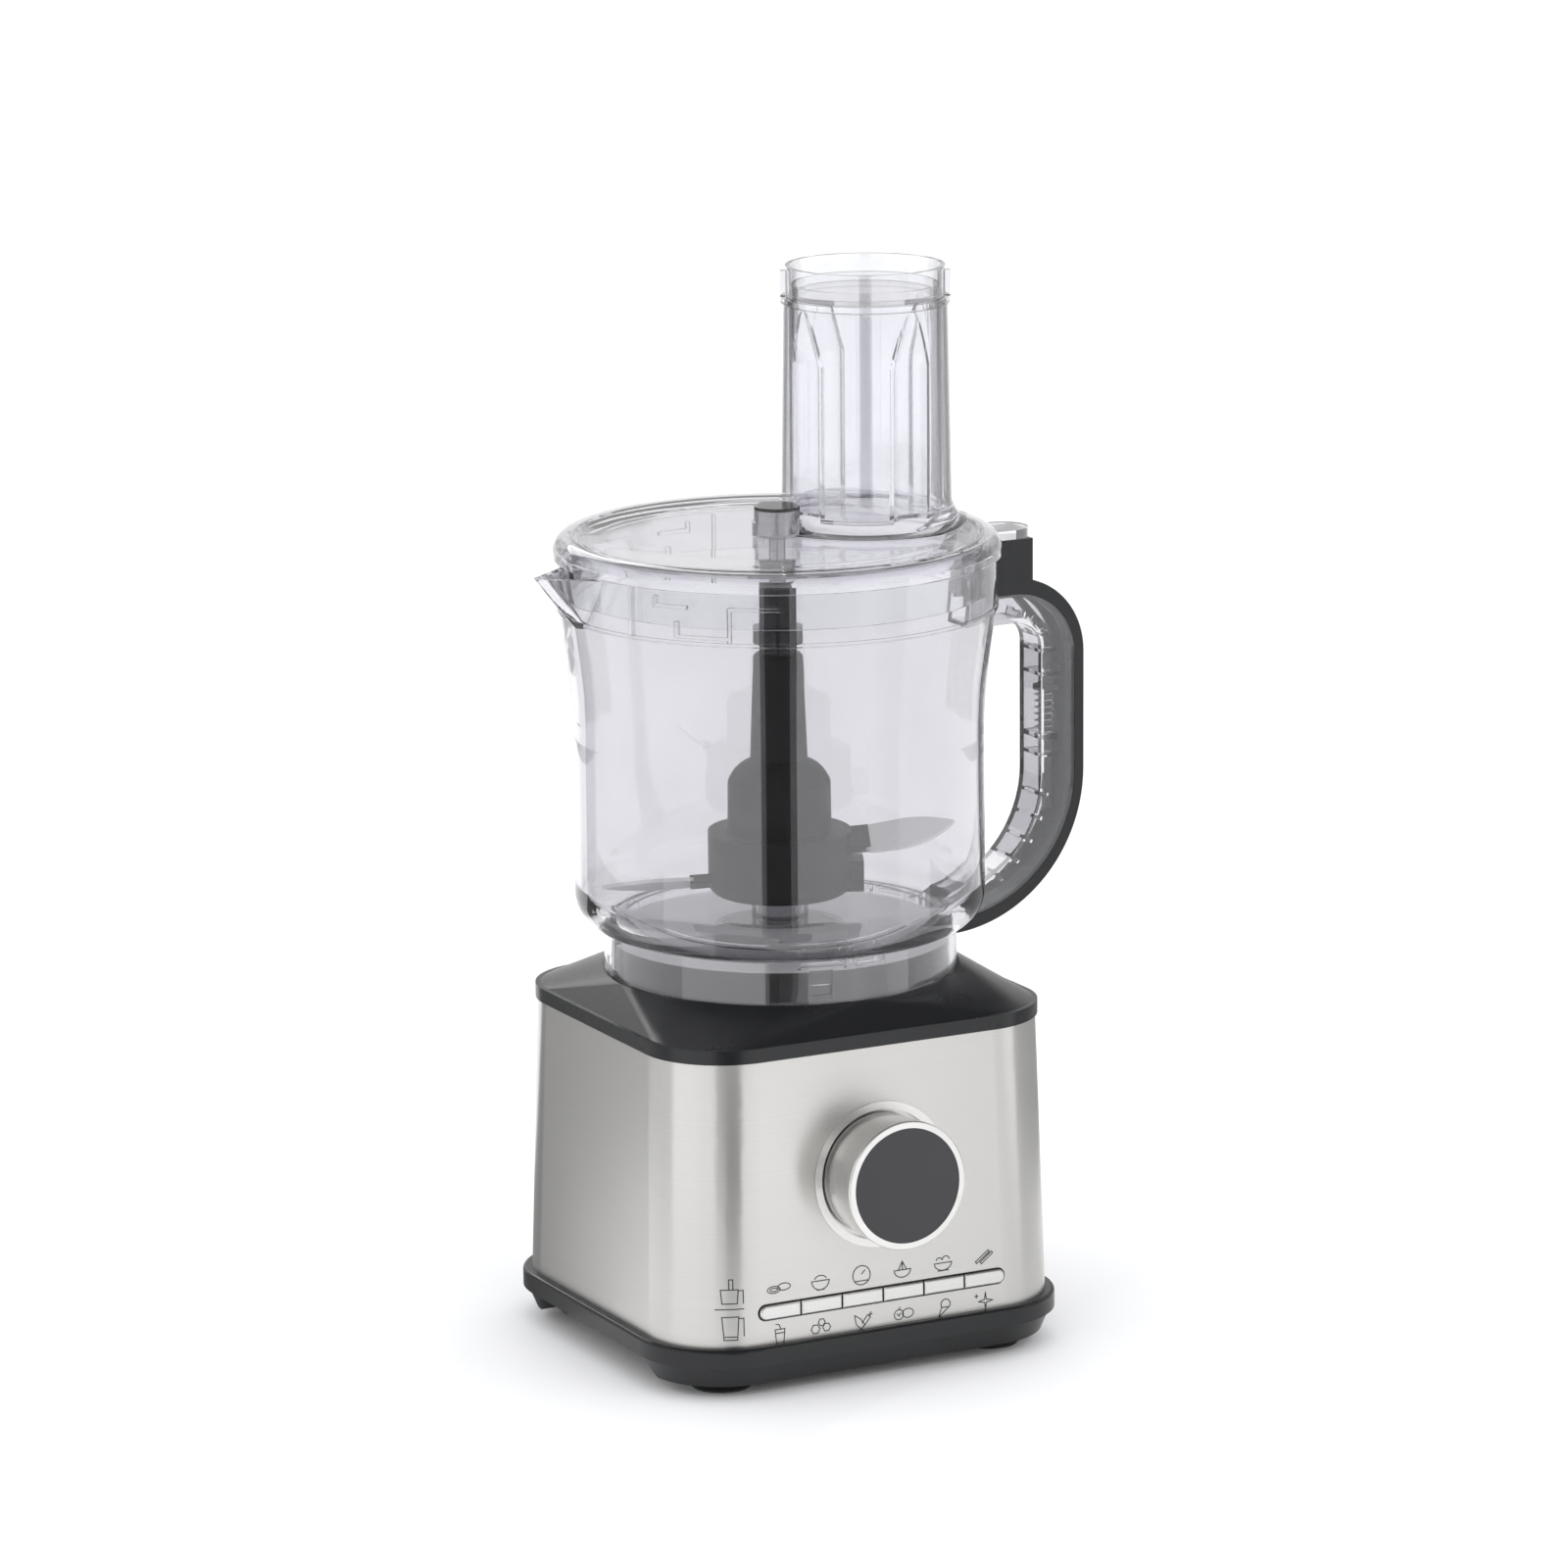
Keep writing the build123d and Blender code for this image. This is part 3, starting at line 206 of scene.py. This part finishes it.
def brushed(name, colour, rough, streak, anisotropic=0.8, axis="Z", depth=0.0000012):
    """Brushed metal: long fine scratches and a highlight drawn across them, laid out round an axis."""
    s = Shader(name)
    scratches = s.noise(streak, 3.0, 0.65)
    cloud = s.noise(14.0, 2.0)
    s.feed(s.tint(scratches, shade(colour, 0.965), shade(colour, 1.03)), "Base Color")
    s.feed(s.span(cloud, rough - 0.015, rough + 0.02), "Roughness")
    s.feed(s.bump(scratches, depth), "Normal")
    tangent = s.tree.nodes.new("ShaderNodeTangent")
    tangent.direction_type = "RADIAL"
    tangent.axis = axis
    s.feed(tangent.outputs["Tangent"], "Tangent")
    return s.set(Metallic=1.0, Anisotropic=anisotropic, Anisotropic_Rotation=0.25)


def clear(name, colour, rough=0.006, sheen=2.1, thin_below=0.0):
    """Clear moulded plastic: cool tint in the walls, hardly any in the plate below a height.

    A sheen above one gives the surface the stronger mirroring of glossy walls in studio light.
    """
    s = Shader(name)
    wall = s.tint(s.noise(16.0, 2.0), shade(colour, 0.98), shade(colour, 1.02))
    height = s.tree.nodes.new("ShaderNodeSeparateXYZ")
    s.link(s.coords.outputs["Object"], height.inputs["Vector"])
    zone = s.tree.nodes.new("ShaderNodeMix")
    zone.data_type = "RGBA"
    zone.inputs["A"].default_value = (0.93, 0.93, 0.95, 1)
    above = s.span(height.outputs["Z"], 0.0, 1.0, thin_below - 0.001, thin_below + 0.002)
    s.link(above, zone.inputs["Factor"])
    s.link(wall, zone.inputs["B"])
    s.feed(zone.outputs["Result"], "Base Color")
    s.feed(s.span(s.noise(420.0, 4.0, 0.7), rough * 0.4, rough * 1.6), "Roughness")
    s.feed(s.bump(s.noise(30.0, 1.0), 0.00003, 0.25), "Normal")
    return s.set(Transmission_Weight=1.0, IOR=1.5, Specular_Tint=(sheen, sheen, sheen, 1))


def topped(name, colour, level, rough, grain, depth):
    """Moulded plastic with dark sides under a light top face, parted at a height."""
    s = moulded(name, colour, rough, grain, depth)
    height = s.tree.nodes.new("ShaderNodeSeparateXYZ")
    s.link(s.coords.outputs["Object"], height.inputs["Vector"])
    top = s.span(height.outputs["Z"], 0.0, 1.0, level - 0.0002, level)
    cloud = s.span(s.noise(9.0, 3.0), -0.02, 0.02)
    add = s.tree.nodes.new("ShaderNodeMath")
    s.link(top, add.inputs[0])
    s.link(cloud, add.inputs[1])
    s.feed(s.tint(add.outputs["Value"], shade(colour, 0.02), colour, 0.0, 1.0), "Base Color")
    return s


def laminated(name, colour):
    """Stacked motor sheets: thin dark joints between the sheets, dull cut edges."""
    s = Shader(name)
    joints = s.bands(320.0)
    s.feed(s.tint(joints, shade(colour, 0.45), colour, 0.1, 0.4), "Base Color")
    s.feed(s.span(s.noise(240.0), 0.38, 0.55), "Roughness")
    s.feed(s.bump(joints, 0.00008), "Normal")
    return s.set(Metallic=1.0)


def wound(name, colour):
    """Enamelled wire laid in turns, with a varnished sheen."""
    s = Shader(name)
    turns = s.bands(260.0, "DIAGONAL")
    # the copper darkens between the turns: painted shade in the creases between the wires
    s.feed(s.tint(turns, shade(colour, 0.35), colour, 0.1, 0.7), "Base Color")
    s.feed(s.span(s.noise(90.0), 0.22, 0.36), "Roughness")
    s.feed(s.bump(turns, 0.00025), "Normal")
    return s.set(Metallic=0.9)


BOWL_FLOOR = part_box("spindle_coupling")[1][2] + 0.003
TURRET_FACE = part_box("turret_trim")[1][2] - 0.0015
materials = {
    "black_plastic": moulded("black_plastic", (0.006, 0.0065, 0.0075), 0.26, 1500.0, 0.000002),
    "rubber": moulded("rubber", (0.012, 0.012, 0.013), 0.62, 900.0, 0.00003),
    "brushed_steel": brushed("brushed_steel", (0.66, 0.65, 0.63), 0.29, (1.6, 1.6, 4200.0)),
    "grey_plastic": moulded("grey_plastic", (0.012, 0.012, 0.013), 0.34),
    "light_grey": topped("light_grey", (0.50, 0.50, 0.51), TURRET_FACE, 0.30, 1200.0, 0.000006),
    "satin_metal": brushed("satin_metal", (0.80, 0.79, 0.775), 0.24, (6.0, 3600.0, 6.0), 0.8, "Y"),
    "key_silver": brushed("key_silver", (0.74, 0.735, 0.72), 0.30, (8.0, 8.0, 1800.0), 0.4, "Z", 0.0),
    "knob_face": moulded("knob_face", (0.030, 0.030, 0.033), 0.42, 2200.0, 0.00001),
    "clear_plastic": clear("clear_plastic", (0.77, 0.767, 0.79), thin_below=BOWL_FLOOR),
    "hub_plastic": moulded("hub_plastic", (0.006, 0.006, 0.007), 0.5).set(Specular_IOR_Level=0.2),
    # the blade colour is near white: painted reflection of polished steel, with little metal left to it
    # below
    "blade_steel": brushed("blade_steel", (0.92, 0.92, 0.93), 0.30, (40.0, 900.0, 900.0), 0.4),
    "turned_steel": brushed("turned_steel", (0.52, 0.52, 0.53), 0.10, (20.0, 20.0, 2400.0), 0.5),
    "inner_plastic": moulded("inner_plastic", (0.022, 0.022, 0.024), 0.5),
    "gear_plastic": moulded("gear_plastic", (0.68, 0.66, 0.58), 0.42, 700.0),
    "pinion_steel": brushed("pinion_steel", (0.42, 0.42, 0.43), 0.30, (60.0, 60.0, 1800.0), 0.4),
    "bracket_metal": moulded("bracket_metal", (0.46, 0.46, 0.47), 0.45, 500.0, 0.00006).set(Metallic=1.0),
    "carbon": moulded("carbon", (0.02, 0.02, 0.021), 0.7, 1200.0, 0.00005),
    "board": moulded("board", (0.02, 0.11, 0.05), 0.35, 300.0, 0.00004, 0.2),
    "switch_plastic": moulded("switch_plastic", (0.05, 0.05, 0.052), 0.45),
    "seal_rubber": moulded("seal_rubber", (0.016, 0.016, 0.018), 0.55, 700.0, 0.00004),
    "core_steel": laminated("core_steel", (0.30, 0.30, 0.32)),
    "copper": wound("copper", (0.70, 0.26, 0.11)),
}
# the blades are seen through the bowl and keep little of the metal's mirroring: their near-white colour is
# painted reflection, standing in for the light that polished steel mirrors
materials["blade_steel"].set(Metallic=0.15)

# every CAD node gets the material of its slot in the record, four of them a variant of it
slot_of = {part["node"]: part["material_slot"] for part in record["subparts"]}
for name, slot_name in slot_of.items():
    for material_slot in nodes[name].material_slots:
        material_slot.material = materials[slot_name].material

lid_clear = clear("clear_lid", (0.93, 0.927, 0.95)).material
pusher_clear = clear("clear_pusher", (0.95, 0.95, 0.965)).material
stem_gloss = moulded("stem_gloss", (0.010, 0.010, 0.011), 0.14, 300.0, 0.00002).material
for name, finish in (
    ("lid", lid_clear), ("pusher", pusher_clear), ("pusher_cap", pusher_clear), ("hub_stem", stem_gloss),
):
    for material_slot in nodes[name].material_slots:
        material_slot.material = finish

# the return spring, which in the machine shortens as the slider comes down on it, is copied into a mesh of
# its own on the bowl's body in place of the CAD spring
cad_spring = nodes["interlock_spring"]
spring = bpy.data.objects.new("return_spring", cad_spring.data.copy())
spring.matrix_world = cad_spring.matrix_world.copy()
scene.collection.objects.link(spring)
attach(spring, "bowl")
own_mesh(spring)
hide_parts("interlock_spring")

# clear parts let the studio lights through to what they cover
for name in ("bowl", "lid", "pusher", "pusher_cap"):
    nodes[name].visible_shadow = False

# ---- printed symbols ----------------------------------------------------------------------

PRINT_WIDTH = 0.00040
PRINT_STEP = 0.0006
PRINT_PROUD = 0.00003
PRINT_THICK = 0.00004
RAY_RUN_UP = 0.05
ink = moulded("printed_ink", (0.035, 0.035, 0.037), 0.45, 3000.0, 0.000004)
bpy.context.view_layer.update()
sleeve_tree = BVHTree.FromObject(nodes["steel_sleeve"], bpy.context.evaluated_depsgraph_get())


def on_face(x, z, lift):
    """Point on the steel front at x and z, lifted out of the sheet."""
    start = Vector((x, cad_box[0][1] - RAY_RUN_UP, z))
    place, normal, _, _ = sleeve_tree.ray_cast(start, Vector((0, 1, 0)))
    return place + normal * lift


def ring(cx, cy, rx, ry=None, start=0, end=360, count=28):
    """Points along an ellipse."""
    ry = rx if ry is None else ry
    steps = [math.radians(start + (end - start) * k / count) for k in range(count + 1)]
    return [(cx + rx * math.cos(a), cy + ry * math.sin(a)) for a in steps]


def fine(points):
    """The same line with enough points to follow a rounded corner."""
    line = [points[0]]
    for start, end in zip(points, points[1:]):
        count = max(1, math.ceil((end - start).length / PRINT_STEP))
        line += [start.lerp(end, k / count) for k in range(1, count + 1)]
    return line


def print_strokes(name, strokes, centre_x, centre_z):
    """Thin printed lines on the steel face, drawn from strokes in millimetres."""
    mesh = bmesh.new()
    half = PRINT_WIDTH / 2
    for stroke in strokes:
        points = fine([Vector((centre_x + u / 1000, centre_z + v / 1000)) for u, v in stroke])
        closed = (points[0] - points[-1]).length < 1e-6
        if closed:
            points = points[:-1]
        total = len(points)
        rows = []
        for index, point in enumerate(points):
            before = points[index - 1] if closed or index > 0 else point
            after = points[(index + 1) % total] if closed or index < total - 1 else point
            incoming = (point - before).normalized() if point != before else None
            outgoing = (after - point).normalized() if after != point else None
            incoming = incoming or outgoing
            outgoing = outgoing or incoming
            side = (incoming + outgoing).normalized()
            across = Vector((-side.y, side.x))
            reach = half / max(0.5, across.dot(Vector((-incoming.y, incoming.x))))
            row = []
            for sign, lift in ((1, 0), (-1, 0), (-1, 1), (1, 1)):
                flat = point + across * reach * sign
                row.append(mesh.verts.new(on_face(flat.x, flat.y, PRINT_PROUD + PRINT_THICK * lift)))
            rows.append(row)
        spans = total if closed else total - 1
        for index in range(spans):
            near, far = rows[index], rows[(index + 1) % total]
            for k in range(4):
                mesh.faces.new((near[k], near[(k + 1) % 4], far[(k + 1) % 4], far[k]))
        if not closed:
            mesh.faces.new(rows[0][::-1])
            mesh.faces.new(rows[-1])
    bmesh.ops.recalc_face_normals(mesh, faces=mesh.faces)
    data = bpy.data.meshes.new(name)
    mesh.to_mesh(data)
    mesh.free()
    data.materials.append(ink.material)
    piece = bpy.data.objects.new(name, data)
    scene.collection.objects.link(piece)
    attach(piece, "base")


# one symbol a key, as strokes in millimetres from the symbol's centre
SYMBOLS_ABOVE = [
    [ring(-2.2, -0.3, 2.6, 1.3), ring(2.0, 0.4, 2.6, 1.3), ring(-2.2, -0.3, 1.5, 0.6)],
    [
        ring(0, 0.4, 3.6, 3.4, 180, 360, 16) + [(-3.6, 0.4)],
        ring(0, 0.4, 2.6, 2.0, 20, 160, 12),
        [(-1.6, -3.0), (1.6, -3.0)],
    ],
    [ring(0, 0, 3.6), [(-2.9, -2.1), (2.9, -2.1)], [(0, 0.4), (1.5, 1.9)]],
    [
        ring(0, -0.4, 3.4, 2.8, 180, 360, 16) + [(-3.4, -0.4)],
        [(-1.7, -0.4), (0, 2.8), (1.7, -0.4)],
        [(0, 2.8), (0, -0.4)],
    ],
    [
        ring(0, -0.2, 3.6, 2.8, 180, 360, 16) + [(-3.6, -0.2)],
        ring(-1.6, 0.9, 1.2, 1.0, 0, 180, 10),
        ring(1.2, 0.9, 1.5, 1.4, 0, 180, 10),
        [(-2.3, -3.1), (2.3, -3.1)],
    ],
    [
        [(-3.4, -1.8), (2.0, 2.0), (2.5, 1.3), (-2.9, -2.5), (-3.4, -1.8)],
        [(-1.4, -2.2), (3.4, 1.4), (3.9, 0.7), (-0.9, -2.9), (-1.4, -2.2)],
    ],
]
SYMBOLS_BELOW = [
    [
        [(-2.0, 1.8), (-1.5, -3.2), (1.5, -3.2), (2.0, 1.8), (-2.0, 1.8)],
        [(-1.9, 0.4), (1.9, 0.4)],
        [(0.4, 1.8), (-0.4, 3.6), (-1.8, 3.9)],
    ],
    [
        ring(-2.4, -0.4, 1.8, 1.8, 0, 360, 6),
        ring(2.2, -0.2, 1.6, 1.6, 0, 360, 6),
        ring(0.2, 1.9, 1.4, 1.4, 0, 360, 6),
    ],
    [
        [(-3.2, 2.4), (-2.6, -1.0), (-0.6, -3.2), (1.0, -1.6), (-0.8, 0.8), (-3.2, 2.4)],
        [(0.4, -2.4), (3.4, 1.0), (2.2, 2.0), (-0.2, -1.0)],
        [(2.8, 1.6), (3.6, 3.0)],
        [(2.8, 1.6), (4.2, 2.2)],
    ],
    [
        ring(-1.8, 0, 1.9),
        ring(2.0, 0.2, 2.3, 1.7),
        [(-1.8, 1.9), (-1.2, 2.9)],
        [(-2.6, 0.6), (-1.8, -0.5), (-1.0, 0.6)],
    ],
    [ring(0.8, 1.2, 1.9, 1.9, -30, 215, 20), [(-0.9, 0.1), (-2.2, -3.4), (2.3, 0.1), (-0.9, 0.1)]],
    [
        [
            (0.6, 3.4), (1.0, 0.6), (3.8, 0), (1.0, -0.6), (0.6, -3.4),
            (0.2, -0.6), (-2.4, 0), (0.2, 0.6), (0.6, 3.4),
        ],
        [(-3.2, 3.0), (-3.2, 1.4)],
        [(-4.0, 2.2), (-2.4, 2.2)],
    ],
]
ROW_SPACING = 0.0086
for number, (above, below) in enumerate(zip(SYMBOLS_ABOVE, SYMBOLS_BELOW), 1):
    low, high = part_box(f"speed_key_{number}")
    centre_x, centre_z = (low[0] + high[0]) / 2, (low[2] + high[2]) / 2
    print_strokes(f"symbol_above_{number}", above, centre_x, centre_z + ROW_SPACING)
    print_strokes(f"symbol_below_{number}", below, centre_x, centre_z - ROW_SPACING)

# two use symbols left of the keys, one with a bowl and one with a jug, and a line between them
BOWL_USE = [
    [(-3.2, 1.6), (-2.8, -3.6), (2.4, -3.6), (2.8, 1.6), (-3.2, 1.6)],
    [(-0.4, 1.6), (-0.4, 5.4), (1.0, 5.4), (1.0, 1.6)],
    [(2.8, 1.2), (4.6, 1.2), (4.6, -3.8)],
]
JUG_USE = [
    [(-3.0, 4.4), (-2.4, -4.2), (2.2, -4.2), (2.8, 4.4), (-3.0, 4.4)],
    [(2.8, 3.8), (4.6, 3.8), (4.6, -3.0)],
    [(-2.2, -3.0), (2.0, -3.0)],
]
USE_LINE = [[(-5.2, 0), (4.8, 0)]]
USE_GAP = 0.0107
row_low, row_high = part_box("speed_key_1")
use_x = row_low[0] - USE_GAP
row_z = (row_low[2] + row_high[2]) / 2
for name, strokes, rise in (
    ("use_symbol_bowl", BOWL_USE, 0.0085),
    ("use_symbol_jug", JUG_USE, -0.0045),
    ("use_symbol_line", USE_LINE, 0.0028),
):
    print_strokes(name, strokes, use_x, row_z + rise)

# ---- studio -------------------------------------------------------------------------------

WHITE = (1, 1, 1)
CARD_LIFT = 0.001


def around(angle, distance, height=0.0):
    """Point at an angle to the right of the camera, seen from the object."""
    heading = VIEW_AZIMUTH - math.radians(angle)
    return Vector((-math.sin(heading) * distance, -math.cos(heading) * distance, height))


def panel(name, centre, width, height, towards, strength):
    """Softbox: an area light that the camera doesn't see."""
    data = bpy.data.lights.new(name, "AREA")
    data.shape = "RECTANGLE"
    data.size = width
    data.size_y = height
    data.energy = strength
    lamp = bpy.data.objects.new(name, data)
    direction = Vector(towards) - Vector(centre)
    aim = direction.to_track_quat("-Z", "Y").to_matrix().to_4x4()
    lamp.matrix_world = Matrix.Translation(Vector(centre)) @ aim
    lamp.visible_camera = False
    lamp.visible_transmission = False
    scene.collection.objects.link(lamp)
    return lamp


def stand_in_studio(name, places, faces, shader):
    """Studio piece from corner points, faces and a shader."""
    mesh = bpy.data.meshes.new(name)
    mesh.from_pydata(places, [], faces)
    mesh.materials.append(shader.material)
    item = bpy.data.objects.new(name, mesh)
    scene.collection.objects.link(item)
    return item


def for_mirrors_only(item, through=False):
    """Only mirrors see the piece, and clear parts too if through is set."""
    item.visible_camera = False
    item.visible_diffuse = False
    item.visible_shadow = False
    item.visible_transmission = through
    return item


def card(name, corners, brightness, through=False, glow=0.0):
    """Four-cornered studio card that mirrors see."""
    s = Shader(name)
    dull, full = shade(WHITE, brightness * 0.8), shade(WHITE, brightness)
    s.feed(s.tint(s.noise(3.0), dull, full), "Base Color")
    s.set(Roughness=0.9, Specular_IOR_Level=0.0, Emission_Color=(1, 1, 1, 1), Emission_Strength=glow)
    return for_mirrors_only(stand_in_studio(name, corners, [(0, 1, 2, 3)], s), through)


def standing(name, start, end, height, brightness, through=False):
    """Upright card between two points of the floor."""
    top = Vector((0, 0, height))
    return card(name, [start, end, end + top, start + top], brightness, through)


def graded(name, start, end, reach, near, far, height, light, dark):
    """Card on the floor that turns up at its far end, darkens from start to end and stays so to reach.

    It lies along the way that the flat steel faces mirror, so the sheet shows a soft gradient.
    """
    along = Vector((math.sin(VIEW_AZIMUTH), -math.cos(VIEW_AZIMUTH), 0))
    across = Vector((math.cos(VIEW_AZIMUTH), math.sin(VIEW_AZIMUTH), 0))
    corners = [(start, near), (reach, near), (reach, far), (start, far)]
    places = [across * side + along * depth + Vector((0, 0, CARD_LIFT)) for side, depth in corners]
    places += [across * side + along * far + Vector((0, 0, height)) for side in (reach, start)]
    s = Shader(name)
    measure = s.tree.nodes.new("ShaderNodeVectorMath")
    measure.operation = "DOT_PRODUCT"
    measure.inputs[1].default_value = across
    s.link(s.coords.outputs["Object"], measure.inputs[0])
    ramp = s.span(measure.outputs["Value"], 0.0, 1.0, start, end)
    s.feed(s.tint(ramp, shade(WHITE, light), shade(WHITE, dark), 0.0, 1.0), "Base Color")
    s.set(Roughness=0.9)
    for_mirrors_only(stand_in_studio(name, places, [(0, 1, 2, 3), (3, 2, 4, 5)], s))


FLOOR_REACH = 20.0
floor_paint = Shader("studio_floor")
floor_tone = floor_paint.tint(floor_paint.noise(2.0), (0.86, 0.86, 0.865), (0.88, 0.88, 0.885))
floor_paint.feed(floor_tone, "Base Color")
floor_paint.set(Roughness=0.6, Specular_IOR_Level=0.2)
stand_in_studio(
    "studio_floor",
    [(x * FLOOR_REACH, y * FLOOR_REACH, cad_box[0][2]) for x, y in ((-1, -1), (1, -1), (1, 1), (-1, 1))],
    [(0, 1, 2, 3)],
    floor_paint,
)

# the world lights the floor evenly, while mirrors see it go darker overhead
FLOOR_LIGHT = 1.38
MIRROR_LIGHT = 0.95
MIRROR_OVERHEAD = 0.22
OVERHEAD_START, OVERHEAD_END = 0.35, 0.75
world = bpy.data.worlds.new("studio")
scene.world = world
world.use_nodes = True
tree = world.node_tree
background = tree.nodes["Background"]
background.inputs["Color"].default_value = (0.985, 0.99, 1.0, 1)
background.inputs["Strength"].default_value = FLOOR_LIGHT
mirrored = tree.nodes.new("ShaderNodeBackground")
direction = tree.nodes.new("ShaderNodeTexCoord")
upward = tree.nodes.new("ShaderNodeSeparateXYZ")
fade = tree.nodes.new("ShaderNodeMapRange")
fade.interpolation_type = "SMOOTHSTEP"
for socket, value in (
    ("From Min", OVERHEAD_START), ("From Max", OVERHEAD_END),
    ("To Min", MIRROR_LIGHT), ("To Max", MIRROR_OVERHEAD),
):
    fade.inputs[socket].default_value = value
paths = tree.nodes.new("ShaderNodeLightPath")
choose = tree.nodes.new("ShaderNodeMixShader")
tree.links.new(direction.outputs["Generated"], upward.inputs["Vector"])
tree.links.new(upward.outputs["Z"], fade.inputs["Value"])
tree.links.new(fade.outputs["Result"], mirrored.inputs["Strength"])
tree.links.new(paths.outputs["Is Glossy Ray"], choose.inputs["Fac"])
tree.links.new(background.outputs["Background"], choose.inputs[1])
tree.links.new(mirrored.outputs["Background"], choose.inputs[2])
tree.links.new(choose.outputs["Shader"], tree.nodes["World Output"].inputs["Surface"])

softbox = panel("softbox_right", around(62, 1.5, 0.55), 1.4, 1.3, (0, 0, 0.12), 2.5)
softbox.visible_glossy = False
panel("softbox_left", (-0.75, 0.18, 0.6), 1.5, 1.2, (0, 0.18, 0.25), 1.0)

# cards for the front, the left face and the corners of the steel
graded("card_front", -0.100, 0.07, 0.16, 0.085, 0.75, 0.45, 0.95, 0.66)
graded("card_left", -0.115, -0.045, 0.10, -0.085, -0.75, 0.7, 1.0, 0.18)
standing("dim_left", around(-62, 0.40), around(-116, 0.40), 0.11, 0.50)
standing("card_corner", around(-1, 0.27), around(15.5, 0.27), 0.115, 0.20)
standing("dim_right", around(84, 0.36), around(160, 0.36), 0.12, 0.42)

# dark flags on both sides give the clear walls their outlines
for side in (1, -1):
    flag = standing(f"flag_{side + 1}", around(120 * side, 1.1), around(163 * side, 1.1), 1.5, 0.08, True)
    flag.visible_glossy = False

# bright panel high up behind, which the black cover's left slope mirrors
BACK_LOW, BACK_HIGH = 0.95, 2.2
card("glow_back", [
    around(-140, 2.0, BACK_LOW), around(-168, 2.0, BACK_LOW),
    around(-168, 2.0, BACK_HIGH), around(-140, 2.0, BACK_HIGH),
], 0.5, glow=2.6)

# dark strip towards the camera, softer at its sides: the dark column in the bowl's wall
GAP_NEAR, GAP_FAR = 0.40, 3.2
for name, start, end, brightness in (
    ("card_camera", -7, 6, 0.06), ("card_camera_left", -9.5, -7, 0.33), ("card_camera_right", 6, 9.5, 0.33),
):
    card(name, [
        around(start, GAP_NEAR, CARD_LIFT), around(end, GAP_NEAR, CARD_LIFT),
        around(end, GAP_FAR, CARD_LIFT), around(start, GAP_FAR, CARD_LIFT),
    ], brightness, True)
